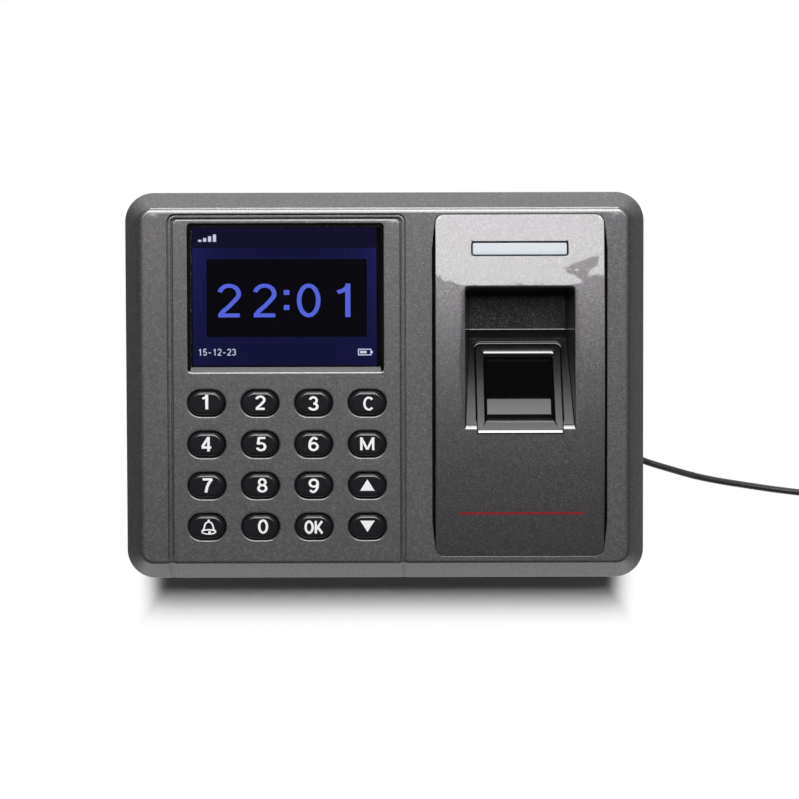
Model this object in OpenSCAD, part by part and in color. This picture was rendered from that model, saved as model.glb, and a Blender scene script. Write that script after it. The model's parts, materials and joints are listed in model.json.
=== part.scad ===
// Fingerprint scanner terminal with a keypad, a display and a finger well.
// It lies on its back, in mm: the origin is the middle of the back, +Z leaves the face, +Y is its top.

/* [Case] */
// Width of the case over its rim
case_w = 180; // [177:1:200]
// Height of the case over its rim
case_h = 134; // [132:1:146]
// Thickness from the wall to the flat of the face
case_t = 36; // [35:0.5:42]
// Radius of the case's corners at the rim
corner_r = 10; // [9:0.5:12]
// How far the bevel steps in from the rim
bevel_w = 6.2; // [5:0.1:6.6]
// How far the bevel falls from the face to the rim
bevel_h = 8; // [6:0.5:9]
// Wall of both shells
wall = 2.4; // [2:0.1:2.6]
// Share of the thickness that the rear shell takes
split_share = 0.5; // [0.47:0.01:0.53]
// Step from the rim in to the rear shell
rear_step = 7; // [6:0.5:8]
// Gap between the lip of the rear shell and the front shell
lip_gap = 0.2; // [0.1:0.05:0.4]

/* [Keypad panel] */
// Share of the face's room that the keypad panel takes; the scanner cover takes the rest
panel_share = 0.575; // [0.56:0.005:0.59]
// Flat face between the left bevel and the groove
panel_side = 9.2; // [8.4:0.2:10]
// Flat face between the upper bevel and the groove
panel_over = 1.75; // [1.5:0.25:3]
// Face between the panel's groove and the gap of the cover
mid_strip = 8.9; // [7:0.1:11]
// Width of the groove around the panel
groove_w = 1.75; // [1:0.25:2]
// Depth of the groove and of the panel's skin
skin_t = 0.9; // [0.6:0.1:1.2]
// Ledge of the front shell under the panel's skin
ledge = 1.4; // [1:0.1:1.6]
// Gap between the panel's body and the front shell
panel_gap = 0.15; // [0.1:0.05:0.3]

/* [Display] */
// Panel on each side of the display opening, at the back of its flare
view_side = 6.4; // [6:0.1:8]
// Share of the panel's height that the display opening takes
view_share = 0.41; // [0.38:0.01:0.43]
// How far the flare widens each side of the opening
flare = 1.3; // [0.6:0.1:1.4]
// Panel between its upper edge and the flare
view_over = 1.5; // [1.4:0.1:2.5]
// Thickness of the clear window
window_t = 1.2; // [0.8:0.1:1.5]
// Thickness of the display module
module_t = 3.7; // [3.2:0.1:4.2]

/* [Keys] */
// Distance from the panel's side to the middle of the first column
key_edge = 11.6; // [11:0.1:13]
// Distance from the lower bevel to the middle of the last row
key_foot = 12.5; // [11:0.1:14]
// Length of a key cap
key_l = 12.4; // [11:0.2:13]
// Width of a key cap
key_w = 8.4; // [7.4:0.2:9]
// Gap around a key cap in its hole
key_gap = 0.35; // [0.3:0.05:0.5]
// How far a key stands over the panel
key_rise = 1.4; // [1:0.1:2]
// How far a key goes down
key_travel = 1.2; // [0.8:0.1:1.4]
// Distance from the display's flare down to the first row
key_drop = 10.5; // [10:0.25:11.5]

/* [Scanner cover] */
// Flat face between the right bevel and the cover
cover_side = 8.4; // [8:0.2:9]
// Flat face between the bevel and the cover's ends
cover_over = 2.1; // [1.8:0.1:4]
// Dark gap along each side of the cover
cover_gap = 1.2; // [0.8:0.1:1.4]
// Gap at each end of the cover
end_gap = 0.2; // [0.1:0.05:0.3]
// Height of the arch over the face
bulge = 2.8; // [2.2:0.1:3.4]
// Wall of the cover
cover_t = 2.2; // [1.8:0.1:2.4]
// Corner radius of the cover
cover_r = 3; // [2:0.25:4]
// Cover on each side of the finger well
well_side = 10.2; // [9.5:0.1:11]
// Upper end of the finger well, as a share of the cover's half length
well_top_share = 0.5725; // [0.55:0.005:0.59]
// Lower end of the finger well, as a share of the cover's half length
well_low_share = 0.249; // [0.24:0.005:0.26]
// Place of the well's deepest line, as a share of the cover's half length
well_deep_share = 0.332; // [0.325:0.005:0.345]
// Depth of the well under the face
well_depth = 14; // [13:0.25:14.5]
// How much each side of the well leans in
well_draft = 1.8; // [1:0.1:2]

/* [Indicator] */
// Cover on each side of the lit strip
lens_side = 12.65; // [11:0.05:14]
// Height of the lit strip
lens_h = 4.5; // [3.5:0.1:5]
// Distance from the cover's upper end to the middle of the lit strip
lens_drop = 11.8; // [10.8:0.1:12.4]
// Gap around the lit strip
lens_gap = 0.25; // [0.15:0.05:0.4]

/* [Sensor] */
// Ramp on each side of the raised frame
bezel_beside = 3.9; // [3.6:0.1:4.4]
// Share of the ramp's length that the raised frame takes
bezel_share = 0.875; // [0.85:0.005:0.89]
// Width of the sides of the frame
bezel_side = 2.4; // [2:0.1:2.8]
// Width of the ends of the frame
bezel_end = 3.3; // [3:0.1:3.6]
// How far the frame stands over the ramp
bezel_rise = 0.5; // [0.3:0.1:0.8]
// How far the frame runs past the ramp's lower end
bezel_past = 1.15; // [0.8:0.05:1.3]
// Gap around the frame
bezel_gap = 0.25; // [0.15:0.05:0.35]
// Thickness of the frame's plate on the ramp
ramp_t = 1.2; // [0.9:0.1:1.3]
// How much the frame's window narrows on each side, down to the glass
throat_side = 1.2; // [0.8:0.1:1.5]
// How much the frame's window narrows at its upper end, down to the glass
throat_top = 4.1; // [3:0.1:4.5]
// How much the frame's window narrows at its lower end, down to the glass
throat_low = 3.9; // [3:0.1:4.5]
// How far the glass lies under the ramp
glass_drop = 2.4; // [2:0.1:2.8]

/* [Wall plate] */
// Width of the steel wall plate
plate_w = 84; // [80:1:86]
// Thickness of the steel wall plate
plate_t = 1.2; // [1:0.1:1.5]
// Depth of the recess behind the plate
plate_room = 5; // [4.6:0.1:5.4]
// Gap around the wall plate
plate_gap = 0.6; // [0.4:0.1:1]
// Distance between the wall holes across
hole_dx = 60; // [50:1:64]
// Distance between the wall holes upwards
hole_dy = 40; // [36:1:44]
// Radius of the wall holes
hole_r = 2.25; // [2:0.05:2.6]

/* [Screws] */
// Radius of the case screws
screw_r = 1.45; // [1.2:0.05:1.6]
// Gap between a screw and its hole
screw_gap = 0.05; // [0.03:0.01:0.1]

/* [Lead] */
// Diameter of the power lead
lead_d = 2.4; // [2.2:0.1:2.6]
// Mean radius of the lead's coil
coil_r = 13.2; // [13:0.2:14]
// Distance between the turns of the coil
turn_pitch = 2.6; // [2.6:0.1:2.8]

/* [Hidden] */
$fn = 48;
eps = 0.01;

// Levels over the back
face_z = case_t;
split_z = case_t * split_share;
rim_z = case_t - bevel_h;
inner_z = face_z - wall;
slope_l = sqrt(bevel_w * bevel_w + bevel_h * bevel_h);

// Widths of the panel and the cover
flat_w = case_w - 2 * bevel_w;
flat_low = case_h / 2 - bevel_w;
share_w = flat_w - panel_side - 2 * groove_w - mid_strip - cover_gap - cover_side;
panel_w = panel_share * share_w;
cover_w = share_w - panel_w;

// Keypad panel
panel_x = -case_w / 2 + bevel_w + panel_side + groove_w + panel_w / 2;
panel_top = case_h / 2 - bevel_w - panel_over - groove_w;
body_w = panel_w - 2 * ledge - 2 * panel_gap;
body_top = panel_top - ledge - panel_gap;
body_low = -(case_h / 2 - bevel_w - 3);

// Display
view_w = panel_w - 2 * view_side;
view_h = view_share * (panel_top + flat_low);
view_x = panel_x + 0.2;
view_y = panel_top - view_over - flare - view_h / 2;
window_w = view_w + 4.4;
window_h = view_h + 4.4;
window_z = inner_z - window_t;
frame_w = view_w + 11.8;
frame_h = view_h + 6.6;
frame_z = window_z - 0.1 - module_t;
frame_wall = 0.5;

// Keypad
row_y = view_y - view_h / 2 - flare - key_drop;
key_pitch_x = (panel_w - 2 * key_edge) / 3;
key_pitch_y = (row_y + flat_low - key_foot) / 3;
key_side = 0.9;
flange_t = 1;
key_lift = 0.3;
post_h = 5;
board_t = 1.6;
ribbon_w = 22;
ribbon_x = 4;
ribbon_t = 0.2;
ribbon_top = [4, 6];
ribbon_drop = 2.2;
ribbon_land = [8, 16];
ribbon_lift = 1.4;
harness_x = 13.5;
harness_y = 4;
harness_drop = 1.3;
harness_end = [6, 2, 2.2];
pad_top = inner_z - post_h;
mat_t = 1.2;
stem_r = 2.4;
stem_low = pad_top + key_travel + 0.3;
flange_z = inner_z - key_lift - flange_t;
collar_h = max(0.2, flange_z - key_travel - 0.3 - pad_top - mat_t);
mid_y = row_y - 1.5 * key_pitch_y;
pad_w = 3 * key_pitch_x + 20;
pad_h = 3 * key_pitch_y + 11;
panel_post_r = 2;
small_r = 0.95;

// Scanner cover
cover_x = case_w / 2 - bevel_w - cover_side - cover_w / 2;
cover_h = case_h - 2 * bevel_w - 2 * cover_over;
half_l = cover_h / 2;
arch_r = (half_l * half_l + bulge * bulge) / (2 * bulge);
tab_reach = 4;
tab_t = 1.6;
tab_z = inner_z - 0.2 - tab_t;
tab_y = half_l * 0.68;
tab_screw_y = half_l * 0.51;
well_w = cover_w - 2 * well_side;
well_top = half_l * well_top_share;
well_low = half_l * well_low_share;
well_deep_y = half_l * well_deep_share;
tub_t = 2;

function arch_z(y) = face_z + bulge - arch_r + sqrt(arch_r * arch_r - y * y);

deep = [well_deep_y, face_z - well_depth];
low_end = [-well_low, arch_z(well_low)];
top_end = [well_top, arch_z(well_top)];
ramp_a = atan2(low_end[1] - deep[1], deep[0] - low_end[0]);
ramp_d = [-cos(ramp_a), sin(ramp_a)];
ramp_n = [sin(ramp_a), cos(ramp_a)];
foot = [well_top - well_draft, deep[1]];
foot_d = [top_end[0] - foot[0], top_end[1] - foot[1]];
deep_out = [deep[0] - tub_t * tan(ramp_a / 2), deep[1] - tub_t];
foot_out = [foot[0] + tub_t, deep[1] - tub_t];
bezel_w = well_w - 2 * bezel_beside;
bezel_l = bezel_share * norm(low_end - deep);
bezel_y = well_low + bezel_past - bezel_l * cos(ramp_a) / 2;
bezel_z = deep[1] + (deep[0] + bezel_y) * tan(ramp_a);

// Sensor, in the ramp's own directions
bezel_low = -4;
house_top = bezel_low - 0.2;
house_w = bezel_w - 1.2;
house_l = bezel_l - 2.2;
house_deep = bezel_z - house_l / 2 * sin(ramp_a) - plate_room - wall;
house_h = house_deep / cos(ramp_a) - 9.8;
house_low = house_top - house_h;
glass_w = bezel_w - 2 * bezel_side - 0.4;
lamp_x = glass_w / 2 - 3.8;
glass_l = bezel_l - 2 * bezel_end - 0.4;
sboard_t = 1.4;
ear_x = bezel_w / 2 + 2.7;

// Indicator
lens_l = cover_w - 2 * lens_side;
lens_y = half_l - lens_drop;
lens_top = arch_z(lens_y + lens_h / 2) - 0.2;
lens_seat = arch_z(lens_y + lens_h / 2 + 1.6) - cover_t - 0.2;
lamp_z = lens_seat - 4.6;

// Rear shell
rear_w = case_w - 2 * rear_step;
rear_h = case_h - 2 * rear_step;
rear_r = 6;
lip_w = case_w - 2 * wall - 2 * lip_gap;
lip_h = case_h - 2 * wall - 2 * lip_gap;
lip_t = 2.4;
lip_z = split_z + lip_t;
tower_r = 4.1;
tower_x = rear_w / 2 - tower_r - 0.1;
tower_y = rear_h / 2 - 9.5;
head_r = 2.7;
head_t = 2;
head_room = 9;

// Wall plate
recess_w = plate_w + 2 * plate_gap;
plate_top = rear_h * 0.2333;
plate_low = -(rear_h / 2 - wall - plate_gap);
recess_top = plate_top + plate_gap;
recess_low = plate_low - plate_gap;
hole_y = (plate_top + plate_low) / 2;
lift_z = plate_room + wall;
hook_w = 8;
hook_x = plate_w / 2 - 8;
hook_top = lift_z + 0.2 + plate_t;
lock_z = 3;

// Boards
main_z = lift_z + 2.6;
main_top = main_z + board_t;
main_w = rear_w * 0.53;
main_h = rear_h * 0.6167;
main_x = -(rear_w / 2 - wall - 5.6 - main_w / 2);
main_y = -2;
main_edge = main_x + main_w / 2;
cell_x = main_x - main_w / 2 + 18;
cell_y = main_y - main_h / 2 + 13;
main_hx = main_w / 2 - 4;
main_hy = main_h / 2 - 4;
chip_w = 14;
chip_t = 1.4;
flash_l = 11;
flash_w = 8;
flash_t = 1.2;
socket_l = 24;
socket_w = 5;
cell_r = 10;
cell_t = 3.2;
cell_rim = 1.2;
cell_floor = 0.8;
horn_r = 12.6;
horn_room = rear_w / 2 - recess_w / 2 - 2 * wall - 2 * horn_r;
horn_x = recess_w / 2 + wall + horn_r + horn_room * 0.154;
horn_t = 3.4;
magnet_r = 7;
magnet_t = 3;
horn_y = -(rear_h / 2 - 18);

// Lead
exit_x = rear_w / 2 + 4;
exit_y = -0.197 * case_h;
exit_z = 8;
lead_r = lead_d / 2;
coil_x = exit_x + 86;
coil_y = -26;
turn_n = 3;
layer_n = 4;
ring_in = coil_r - turn_pitch - lead_r;
ring_out = coil_r + turn_pitch + lead_r;
ring_h = (layer_n - 1) * turn_pitch + lead_d;
tie_t = 0.5;
tie_w = 6;
turn_r = coil_r + turn_pitch;
tail_z = ring_h - lead_r;
plug_h = 7.6;
plug_y = coil_y + 42;
drop = [0, 0, -0.1, -0.4, -0.9, -1.7, -3.0, -4.4, -5.4, -6.1, -6.6, -6.8, -6.8];
run_x = [0, 2.5, 5, 7, 11, 16, 21.5, 27, 34, 42, 53, 63.4, 72];
run_y = [0, -0.3, -1.05, -1.85, -3.15, -4.65, -6.3, -7.75, -9.2, -10.55, -12.25, -13.6, -14.5];
sink = (exit_z - lead_r) / 6.8;
last = len(run_x) - 1;
join_y = coil_y - turn_r - exit_y;
lead_path = concat(
  [for (i = [0:last]) [exit_x + run_x[i], exit_y + run_y[i], exit_z + sink * drop[i]]],
  [[exit_x + 79, exit_y + (run_y[last] + join_y) / 2 - 0.2, lead_r]],
  [[exit_x + 86, exit_y + join_y, lead_r]]
);
tail_path = [
  [coil_x + turn_r, coil_y - 2, tail_z],
  [coil_x + turn_r, coil_y + 6, tail_z],
  [coil_x + turn_r + 0.4, coil_y + 13, tail_z - 0.3],
  [coil_x + turn_r + 1.2, coil_y + 20, plug_h / 2 + 3.2],
  [coil_x + turn_r + 1.9, coil_y + 27, plug_h / 2 + 1.4],
  [coil_x + turn_r + 2.2, coil_y + 34, plug_h / 2 + 0.2],
  [coil_x + turn_r + 2.2, plug_y, plug_h / 2]
];
plug_x = coil_x + turn_r + 2.2;

// A rectangle with round corners, about the middle
module round_rect(w, h, r) {
  square([w - 2 * r, h], center = true);
  square([w, h - 2 * r], center = true);
  for (x = [-1, 1], y = [-1, 1]) {
    translate([x * (w / 2 - r), y * (h / 2 - r)]) circle(r = r);
  }
}

// The outline of a key: two round ends
module stadium(l, w) {
  square([l - w, w], center = true);
  for (x = [-1, 1]) {
    translate([x * (l - w) / 2, 0]) circle(r = w / 2);
  }
}

// A section in Y and Z, drawn out along X about the given middle
module along_x(x, w) {
  translate([x - w / 2, 0, 0]) rotate([90, 0, 90]) linear_extrude(w) children();
}

// A section in X and Z, drawn out along Y from the low to the high end
module along_y(low, high) {
  translate([0, high, 0]) rotate([90, 0, 0]) linear_extrude(high - low) children();
}

// The case's outside with every surface moved in by the same amount, from the level low upwards
module case_block(inset, low) {
  rise = rim_z - inset * (slope_l - bevel_h) / bevel_w;
  edge = bevel_w + inset * (slope_l - bevel_w) / bevel_h;
  top = face_z - inset;
  r = corner_r;
  for (turn = [0, 1]) {
    long = turn == 0 ? case_w : case_h;
    wide = turn == 0 ? case_h : case_w;
    rotate([0, 0, turn * 90]) along_x(0, long - 2 * r) {
      polygon([
        [-wide / 2 + inset, low], [wide / 2 - inset, low],
        [wide / 2 - inset, rise], [wide / 2 - edge, top],
        [-wide / 2 + edge, top], [-wide / 2 + inset, rise]
      ]);
    }
  }
  for (q = [0:3]) {
    x = (q == 0 || q == 3 ? 1 : -1) * (case_w / 2 - r);
    y = (q < 2 ? 1 : -1) * (case_h / 2 - r);
    translate([x, y, 0]) rotate([0, 0, q * 90]) rotate_extrude(angle = 90) {
      polygon([[0, low], [r - inset, low], [r - inset, rise], [r - edge, top], [0, top]]);
    }
  }
}

// An upright prism with two round upper corners, open downwards over the case's lower edge
module panel_prism(grow, low, high) {
  w = panel_w + 2 * grow;
  top = panel_top + grow;
  r = 1.4 + grow / 2;
  translate([panel_x, 0, low]) linear_extrude(high - low) {
    translate([-w / 2, -case_h]) square([w, case_h + top - r]);
    translate([-w / 2 + r, 0]) square([w - 2 * r, top]);
    for (x = [-1, 1]) {
      translate([x * (w / 2 - r), top - r]) circle(r = r);
    }
  }
}

module body_box(grow, low, high) {
  translate([panel_x - body_w / 2 - grow, body_low - grow, low]) {
    cube([body_w + 2 * grow, body_top - body_low + 2 * grow, high - low]);
  }
}

module at_keys() {
  for (c = [0:3], r = [0:3]) {
    translate([panel_x + (c - 1.5) * key_pitch_x, row_y - r * key_pitch_y, 0]) children();
  }
}

module at_pad_posts() {
  for (x = [-1, 1], y = [-1, 1]) {
    translate([panel_x + x * key_pitch_x, mid_y + y * key_pitch_y, 0]) children();
  }
}

module at_towers() {
  for (x = [-1, 1], y = [-1, 1]) {
    translate([x * tower_x, y * tower_y, 0]) children();
  }
}

module at_tabs() {
  for (x = [-1, 1], y = [-1, 1]) {
    translate([cover_x + x * (cover_w / 2 + cover_gap + tab_reach / 2), y * tab_screw_y, 0]) children();
  }
}

module on_ramp() {
  translate([cover_x, -bezel_y, bezel_z]) rotate([-ramp_a, 0, 0]) children();
}

module box(w, l, low, high) {
  translate([-w / 2, -l / 2, low]) cube([w, l, high - low]);
}

// A screw along +Z with its head at the bottom and its seat at the origin
module screw(r, l, head, tall) {
  translate([0, 0, -eps]) cylinder(r = r, h = l + eps);
  difference() {
    translate([0, 0, -tall]) cylinder(r = head, h = tall);
    translate([0, 0, -tall - eps]) box(head * 1.3, head * 0.3, 0, tall * 0.4);
    translate([0, 0, -tall - eps]) box(head * 0.3, head * 1.3, 0, tall * 0.4);
  }
}

// A round cord along a list of points
module cord(path, r) {
  n = len(path);
  s = 8;
  ahead = [for (i = [0:n - 1]) path[min(i + 1, n - 1)] - path[max(i - 1, 0)]];
  side = [for (t = ahead) cross(t, [0, 0, 1]) / norm(cross(t, [0, 0, 1]))];
  over = [for (i = [0:n - 1]) cross(side[i], ahead[i]) / norm(ahead[i])];
  ring = [for (i = [0:n - 1], k = [0:s - 1])
    path[i] + r * (cos(k * 360 / s) * side[i] + sin(k * 360 / s) * over[i])];
  skin = [for (i = [0:n - 2], k = [0:s - 1])
    [i * s + k, i * s + (k + 1) % s, (i + 1) * s + (k + 1) % s, (i + 1) * s + k]];
  first = [for (k = [0:s - 1]) s - 1 - k];
  end = [for (k = [0:s - 1]) (n - 1) * s + k];
  polyhedron(points = ring, faces = concat(skin, [first, end]));
}

module front_shell() {
  color([0.36, 0.36, 0.37]) difference() {
    union() {
      difference() {
        case_block(0, split_z);
        case_block(wall, split_z - 1);
      }
      at_towers() translate([0, 0, lip_z]) cylinder(r = 2.6, h = inner_z - lip_z + 1);
    }
    difference() {
      panel_prism(groove_w, split_z - 1, face_z + 1);
      case_block(skin_t, split_z - 2);
    }
    body_box(panel_gap, inner_z - 1, face_z);
    translate([cover_x, 0, 0]) {
      box(cover_w + 2 * cover_gap, cover_h + 2 * end_gap, inner_z - 1, face_z + 1);
    }
    at_towers() translate([0, 0, lip_z - 1]) cylinder(r = screw_r + screw_gap, h = 10);
    at_tabs() translate([0, 0, inner_z - 1]) cylinder(r = small_r + screw_gap, h = 2.5, $fn = 24);
  }
}

module keypad_panel() {
  color([0.42, 0.42, 0.43]) difference() {
    union() {
      intersection() {
        panel_prism(0, split_z, face_z);
        difference() {
          case_block(0, split_z);
          case_block(skin_t, split_z - 1);
        }
      }
      body_box(0, inner_z, face_z - skin_t + eps);
      at_pad_posts() {
        translate([0, 0, pad_top]) cylinder(r = panel_post_r, h = post_h + 0.5, $fn = 32);
      }
    }
    translate([view_x, view_y, 0]) box(view_w, view_h, inner_z - 1, face_z + 1);
    translate([view_x, view_y, 0]) intersection() {
      along_x(0, view_w + 20) flare_section(view_h);
      along_y(-view_h, view_h) flare_section(view_w);
    }
    at_keys() translate([0, 0, inner_z - 1]) linear_extrude(wall + 2) {
      stadium(key_l + 2 * key_gap, key_w + 2 * key_gap);
    }
    at_pad_posts() translate([0, 0, pad_top - 1]) {
      cylinder(r = small_r + screw_gap, h = 5.5, $fn = 24);
    }
  }
}

module flare_section(size) {
  polygon([
    [-size / 2, face_z - flare - 0.1], [size / 2, face_z - flare - 0.1],
    [size / 2 + flare, face_z - 0.1], [size / 2 + flare, face_z + 1],
    [-size / 2 - flare, face_z + 1], [-size / 2 - flare, face_z - 0.1]
  ]);
}

// The room under the arch, in Y and Z
module arch_section(r, half, low) {
  intersection() {
    translate([0, face_z + bulge - arch_r]) circle(r = r, $fn = 720);
    translate([-half, low]) square([2 * half, face_z + bulge + 5 - low]);
  }
}

module well_sides(grow) {
  deep_w = well_w / 2 - well_draft + grow;
  wide = well_w / 2 + grow;
  top = face_z + bulge + 6;
  lean = (wide - deep_w) / (face_z + bulge - deep[1]);
  translate([cover_x, 0, 0]) along_y(-60, 60) polygon([
    [-deep_w + lean * 6, deep[1] - 6], [deep_w - lean * 6, deep[1] - 6],
    [wide + lean * 6, top], [-wide - lean * 6, top]
  ]);
}

module well_cut() {
  intersection() {
    along_x(cover_x, well_w + 20) polygon([
      deep, foot, foot + 3 * foot_d, deep + 60 * ramp_d + [0, 30], deep + 60 * ramp_d
    ]);
    well_sides(0);
  }
}

// Plate of the sensor frame on the ramp, seen along the ramp's normal
function ramp_half(y) = well_w / 2 - well_draft
  + well_draft * (bezel_z - y * sin(ramp_a) - deep[1]) / (face_z + bulge - deep[1]);

module ramp_outline(gap) {
  top = (deep[0] + bezel_y) / cos(ramp_a) - 0.2 - gap;
  low = (bezel_y - well_low) / cos(ramp_a) + 1 + gap;
  polygon([
    [gap - ramp_half(low), low], [ramp_half(low) - gap, low],
    [ramp_half(top) - gap, top], [gap - ramp_half(top), top]
  ]);
}

module well_tub() {
  intersection() {
    along_x(cover_x, well_w + 20) polygon([
      deep_out, foot_out, foot_out + 3 * foot_d, deep_out + 60 * ramp_d
    ]);
    well_sides(tub_t);
    along_x(cover_x, well_w + 20) arch_section(arch_r, half_l - 1, 5);
  }
}

module scanner_cover() {
  color([0.2, 0.2, 0.21]) difference() {
    union() {
      difference() {
        intersection() {
          along_x(cover_x, cover_w + 2) arch_section(arch_r, half_l + 1, inner_z);
          translate([cover_x, 0, inner_z - 1]) linear_extrude(face_z + bulge + 2 - inner_z) {
            round_rect(cover_w, 2 * half_l, cover_r);
          }
        }
        along_x(cover_x, cover_w - 2 * cover_t) {
          arch_section(arch_r - cover_t, half_l - cover_t, inner_z - 1);
        }
      }
      well_tub();
      for (x = [-1, 1]) {
        translate([cover_x + x * (cover_w / 2 - cover_t / 2), 0, 0]) {
          box(cover_t, 2 * tab_y, tab_z, inner_z + 1);
        }
        reach = cover_gap + tab_reach + cover_t;
        translate([cover_x + x * (cover_w / 2 - cover_t + reach / 2), 0, 0]) {
          box(reach, 2 * tab_y, tab_z, tab_z + tab_t);
        }
      }
      for (x = [-1, 1]) {
        translate([cover_x + x * (lens_l / 2 + 2.6), lens_y, lamp_z]) {
          cylinder(r = 1.6, h = lens_seat + 0.8 - lamp_z, $fn = 24);
        }
        on_ramp() translate([x * ear_x, 0, house_top]) {
          cylinder(r = 2.2, h = -house_top - 1, $fn = 24);
        }
      }
    }
    well_cut();
    on_ramp() {
      box(bezel_w + 2 * bezel_gap, bezel_l + 2 * bezel_gap, -7, 7);
      translate([0, 0, -ramp_t - 0.05]) linear_extrude(ramp_t + 1) ramp_outline(0.1);
    }
    translate([cover_x, lens_y, 0]) {
      box(lens_l + 2 * lens_gap, lens_h + 2 * lens_gap, inner_z - 1, face_z + bulge + 1);
    }
    at_tabs() translate([0, 0, tab_z - 1]) cylinder(r = small_r + screw_gap, h = tab_t + 2, $fn = 24);
    for (x = [-1, 1]) {
      on_ramp() translate([x * ear_x, 0, house_top - 1]) {
        cylinder(r = small_r + screw_gap, h = 3.6, $fn = 24);
      }
    }
  }
}

module rear_shell() {
  color([0.16, 0.16, 0.17]) difference() {
    union() {
      difference() {
        union() {
          linear_extrude(split_z + eps) round_rect(rear_w, rear_h, rear_r);
          translate([0, 0, split_z]) linear_extrude(lip_t) {
            round_rect(lip_w, lip_h, corner_r - wall - lip_gap);
          }
        }
        translate([0, 0, wall]) linear_extrude(lip_z) {
          round_rect(rear_w - 2 * wall, rear_h - 2 * wall, rear_r - wall);
        }
      }
      translate([0, (recess_top + recess_low) / 2, 0]) {
        box(recess_w + 2 * wall, recess_top - recess_low + 2 * wall, eps, lift_z);
      }
      at_towers() cylinder(r = tower_r, h = lip_z - 0.1);
      for (x = [-1, 1], y = [-1, 1]) {
        translate([main_x + x * main_hx, main_y + y * main_hy, wall / 2]) {
          cylinder(r = 2.6, h = main_z - wall / 2, $fn = 32);
        }
      }
      translate([horn_x, horn_y, wall / 2]) difference() {
        cylinder(r = horn_r + 1.6, h = wall / 2 + 3);
        cylinder(r = horn_r + 0.2, h = 20);
      }
    }
    translate([0, (recess_top + recess_low) / 2, 0]) {
      box(recess_w, recess_top - recess_low, -1, plate_room);
    }
    for (x = [-1, 1], y = [0, 1]) {
      translate([x * hook_x, hook_at(y) + 1, 0]) box(hook_w + 1.6, 7, plate_room - 1, lift_z + 1);
    }
    at_towers() {
      translate([0, 0, -1]) cylinder(r = head_r + 0.4, h = head_room + 1);
      cylinder(r = screw_r + 0.3, h = lip_z + 1);
    }
    for (x = [-1, 1], y = [-1, 1]) {
      translate([main_x + x * main_hx, main_y + y * main_hy, main_z - 2.2]) {
        cylinder(r = small_r + screw_gap, h = 3, $fn = 24);
      }
    }
    for (i = [-3:3]) {
      translate([horn_x + i * 2.8, horn_y, 0]) box(1.2, 20 - abs(i) * 3, -1, wall + 1);
    }
    translate([rear_w / 2 - wall - 1, exit_y, exit_z]) rotate([0, 90, 0]) {
      cylinder(r = 2.9, h = wall + 2);
    }
    translate([0, -rear_h / 2 - 1, lock_z]) rotate([-90, 0, 0]) {
      cylinder(r = screw_r + 0.3, h = wall + 2);
    }
  }
}

function hook_at(i) = i == 0 ? plate_low + 11 : plate_top - 8;

module wall_plate() {
  color([0.72, 0.73, 0.74]) difference() {
    union() {
      translate([0, (plate_top + plate_low) / 2, 0]) {
        box(plate_w, plate_top - plate_low, 0, plate_t);
      }
      translate([0, plate_low + plate_t / 2, 0]) box(24, plate_t, 0, 4.6);
      for (x = [-1, 1], y = [0, 1]) {
        translate([x * hook_x, hook_at(y), 0]) {
          translate([0, plate_t / 2, 0]) box(hook_w, plate_t, 0, hook_top);
          translate([0, 3.4, 0]) box(hook_w, 6.8, lift_z + 0.2, hook_top);
        }
      }
    }
    for (x = [-1, 1], y = [-1, 1]) {
      translate([x * hole_dx / 2, hole_y + y * hole_dy / 2, -1]) cylinder(r = hole_r, h = plate_t + 2);
    }
    translate([0, hole_y, -1]) linear_extrude(plate_t + 2) round_rect(30, 22, 3);
    translate([0, plate_low - 1, lock_z]) rotate([-90, 0, 0]) {
      cylinder(r = screw_r + screw_gap, h = plate_t + 2);
    }
  }
}

module plate_screw() {
  color([0.6, 0.6, 0.6]) translate([0, -rear_h / 2, lock_z]) rotate([-90, 0, 0]) {
    screw(screw_r, wall + plate_gap + plate_t + 1.6, 2.5, 1.8);
  }
}

module case_screws() {
  color([0.25, 0.25, 0.26]) at_towers() translate([0, 0, head_room]) {
    screw(screw_r, lip_z - head_room + 8, head_r, head_t);
  }
}

module cover_screws() {
  color([0.6, 0.6, 0.6]) at_tabs() translate([0, 0, tab_z]) screw(small_r, tab_t + 1.5, 1.7, 1);
}

module lcd_window() {
  color([0.75, 0.8, 0.85]) translate([view_x, view_y, 0]) {
    box(window_w, window_h, window_z, inner_z);
  }
}

module lcd_panel() {
  color([0.08, 0.1, 0.2]) translate([view_x, view_y, 0]) {
    box(frame_w - 2 * frame_wall - 0.3, frame_h - 2 * frame_wall - 0.3,
      frame_z + frame_wall + 0.1, frame_z + module_t - frame_wall - 0.1);
  }
}

module lcd_frame() {
  color([0.62, 0.63, 0.64]) translate([view_x, view_y, 0]) difference() {
    box(frame_w, frame_h, frame_z, frame_z + module_t);
    box(frame_w - 2 * frame_wall, frame_h - 2 * frame_wall,
      frame_z + frame_wall, frame_z + module_t - frame_wall);
    box(view_w + 0.6, view_h + 0.6, frame_z + 1, frame_z + module_t + 1);
  }
}

module lcd_ribbon() {
  low = main_top + ribbon_lift;
  start = view_y + ribbon_top[0];
  turn = view_y + ribbon_top[1];
  land = main_y + ribbon_land[0];
  bend = main_y + ribbon_land[1];
  color([0.7, 0.45, 0.15]) along_x(view_x + ribbon_x, ribbon_w) polygon([
    [start, frame_z], [turn, frame_z], [turn, frame_z - ribbon_drop],
    [bend, low], [land, low], [land, low + ribbon_t],
    [bend - ribbon_t / 2, low + ribbon_t], [turn - ribbon_t, frame_z - ribbon_drop + ribbon_t / 2],
    [turn - ribbon_t, frame_z - ribbon_t], [start, frame_z - ribbon_t]
  ]);
}

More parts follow.
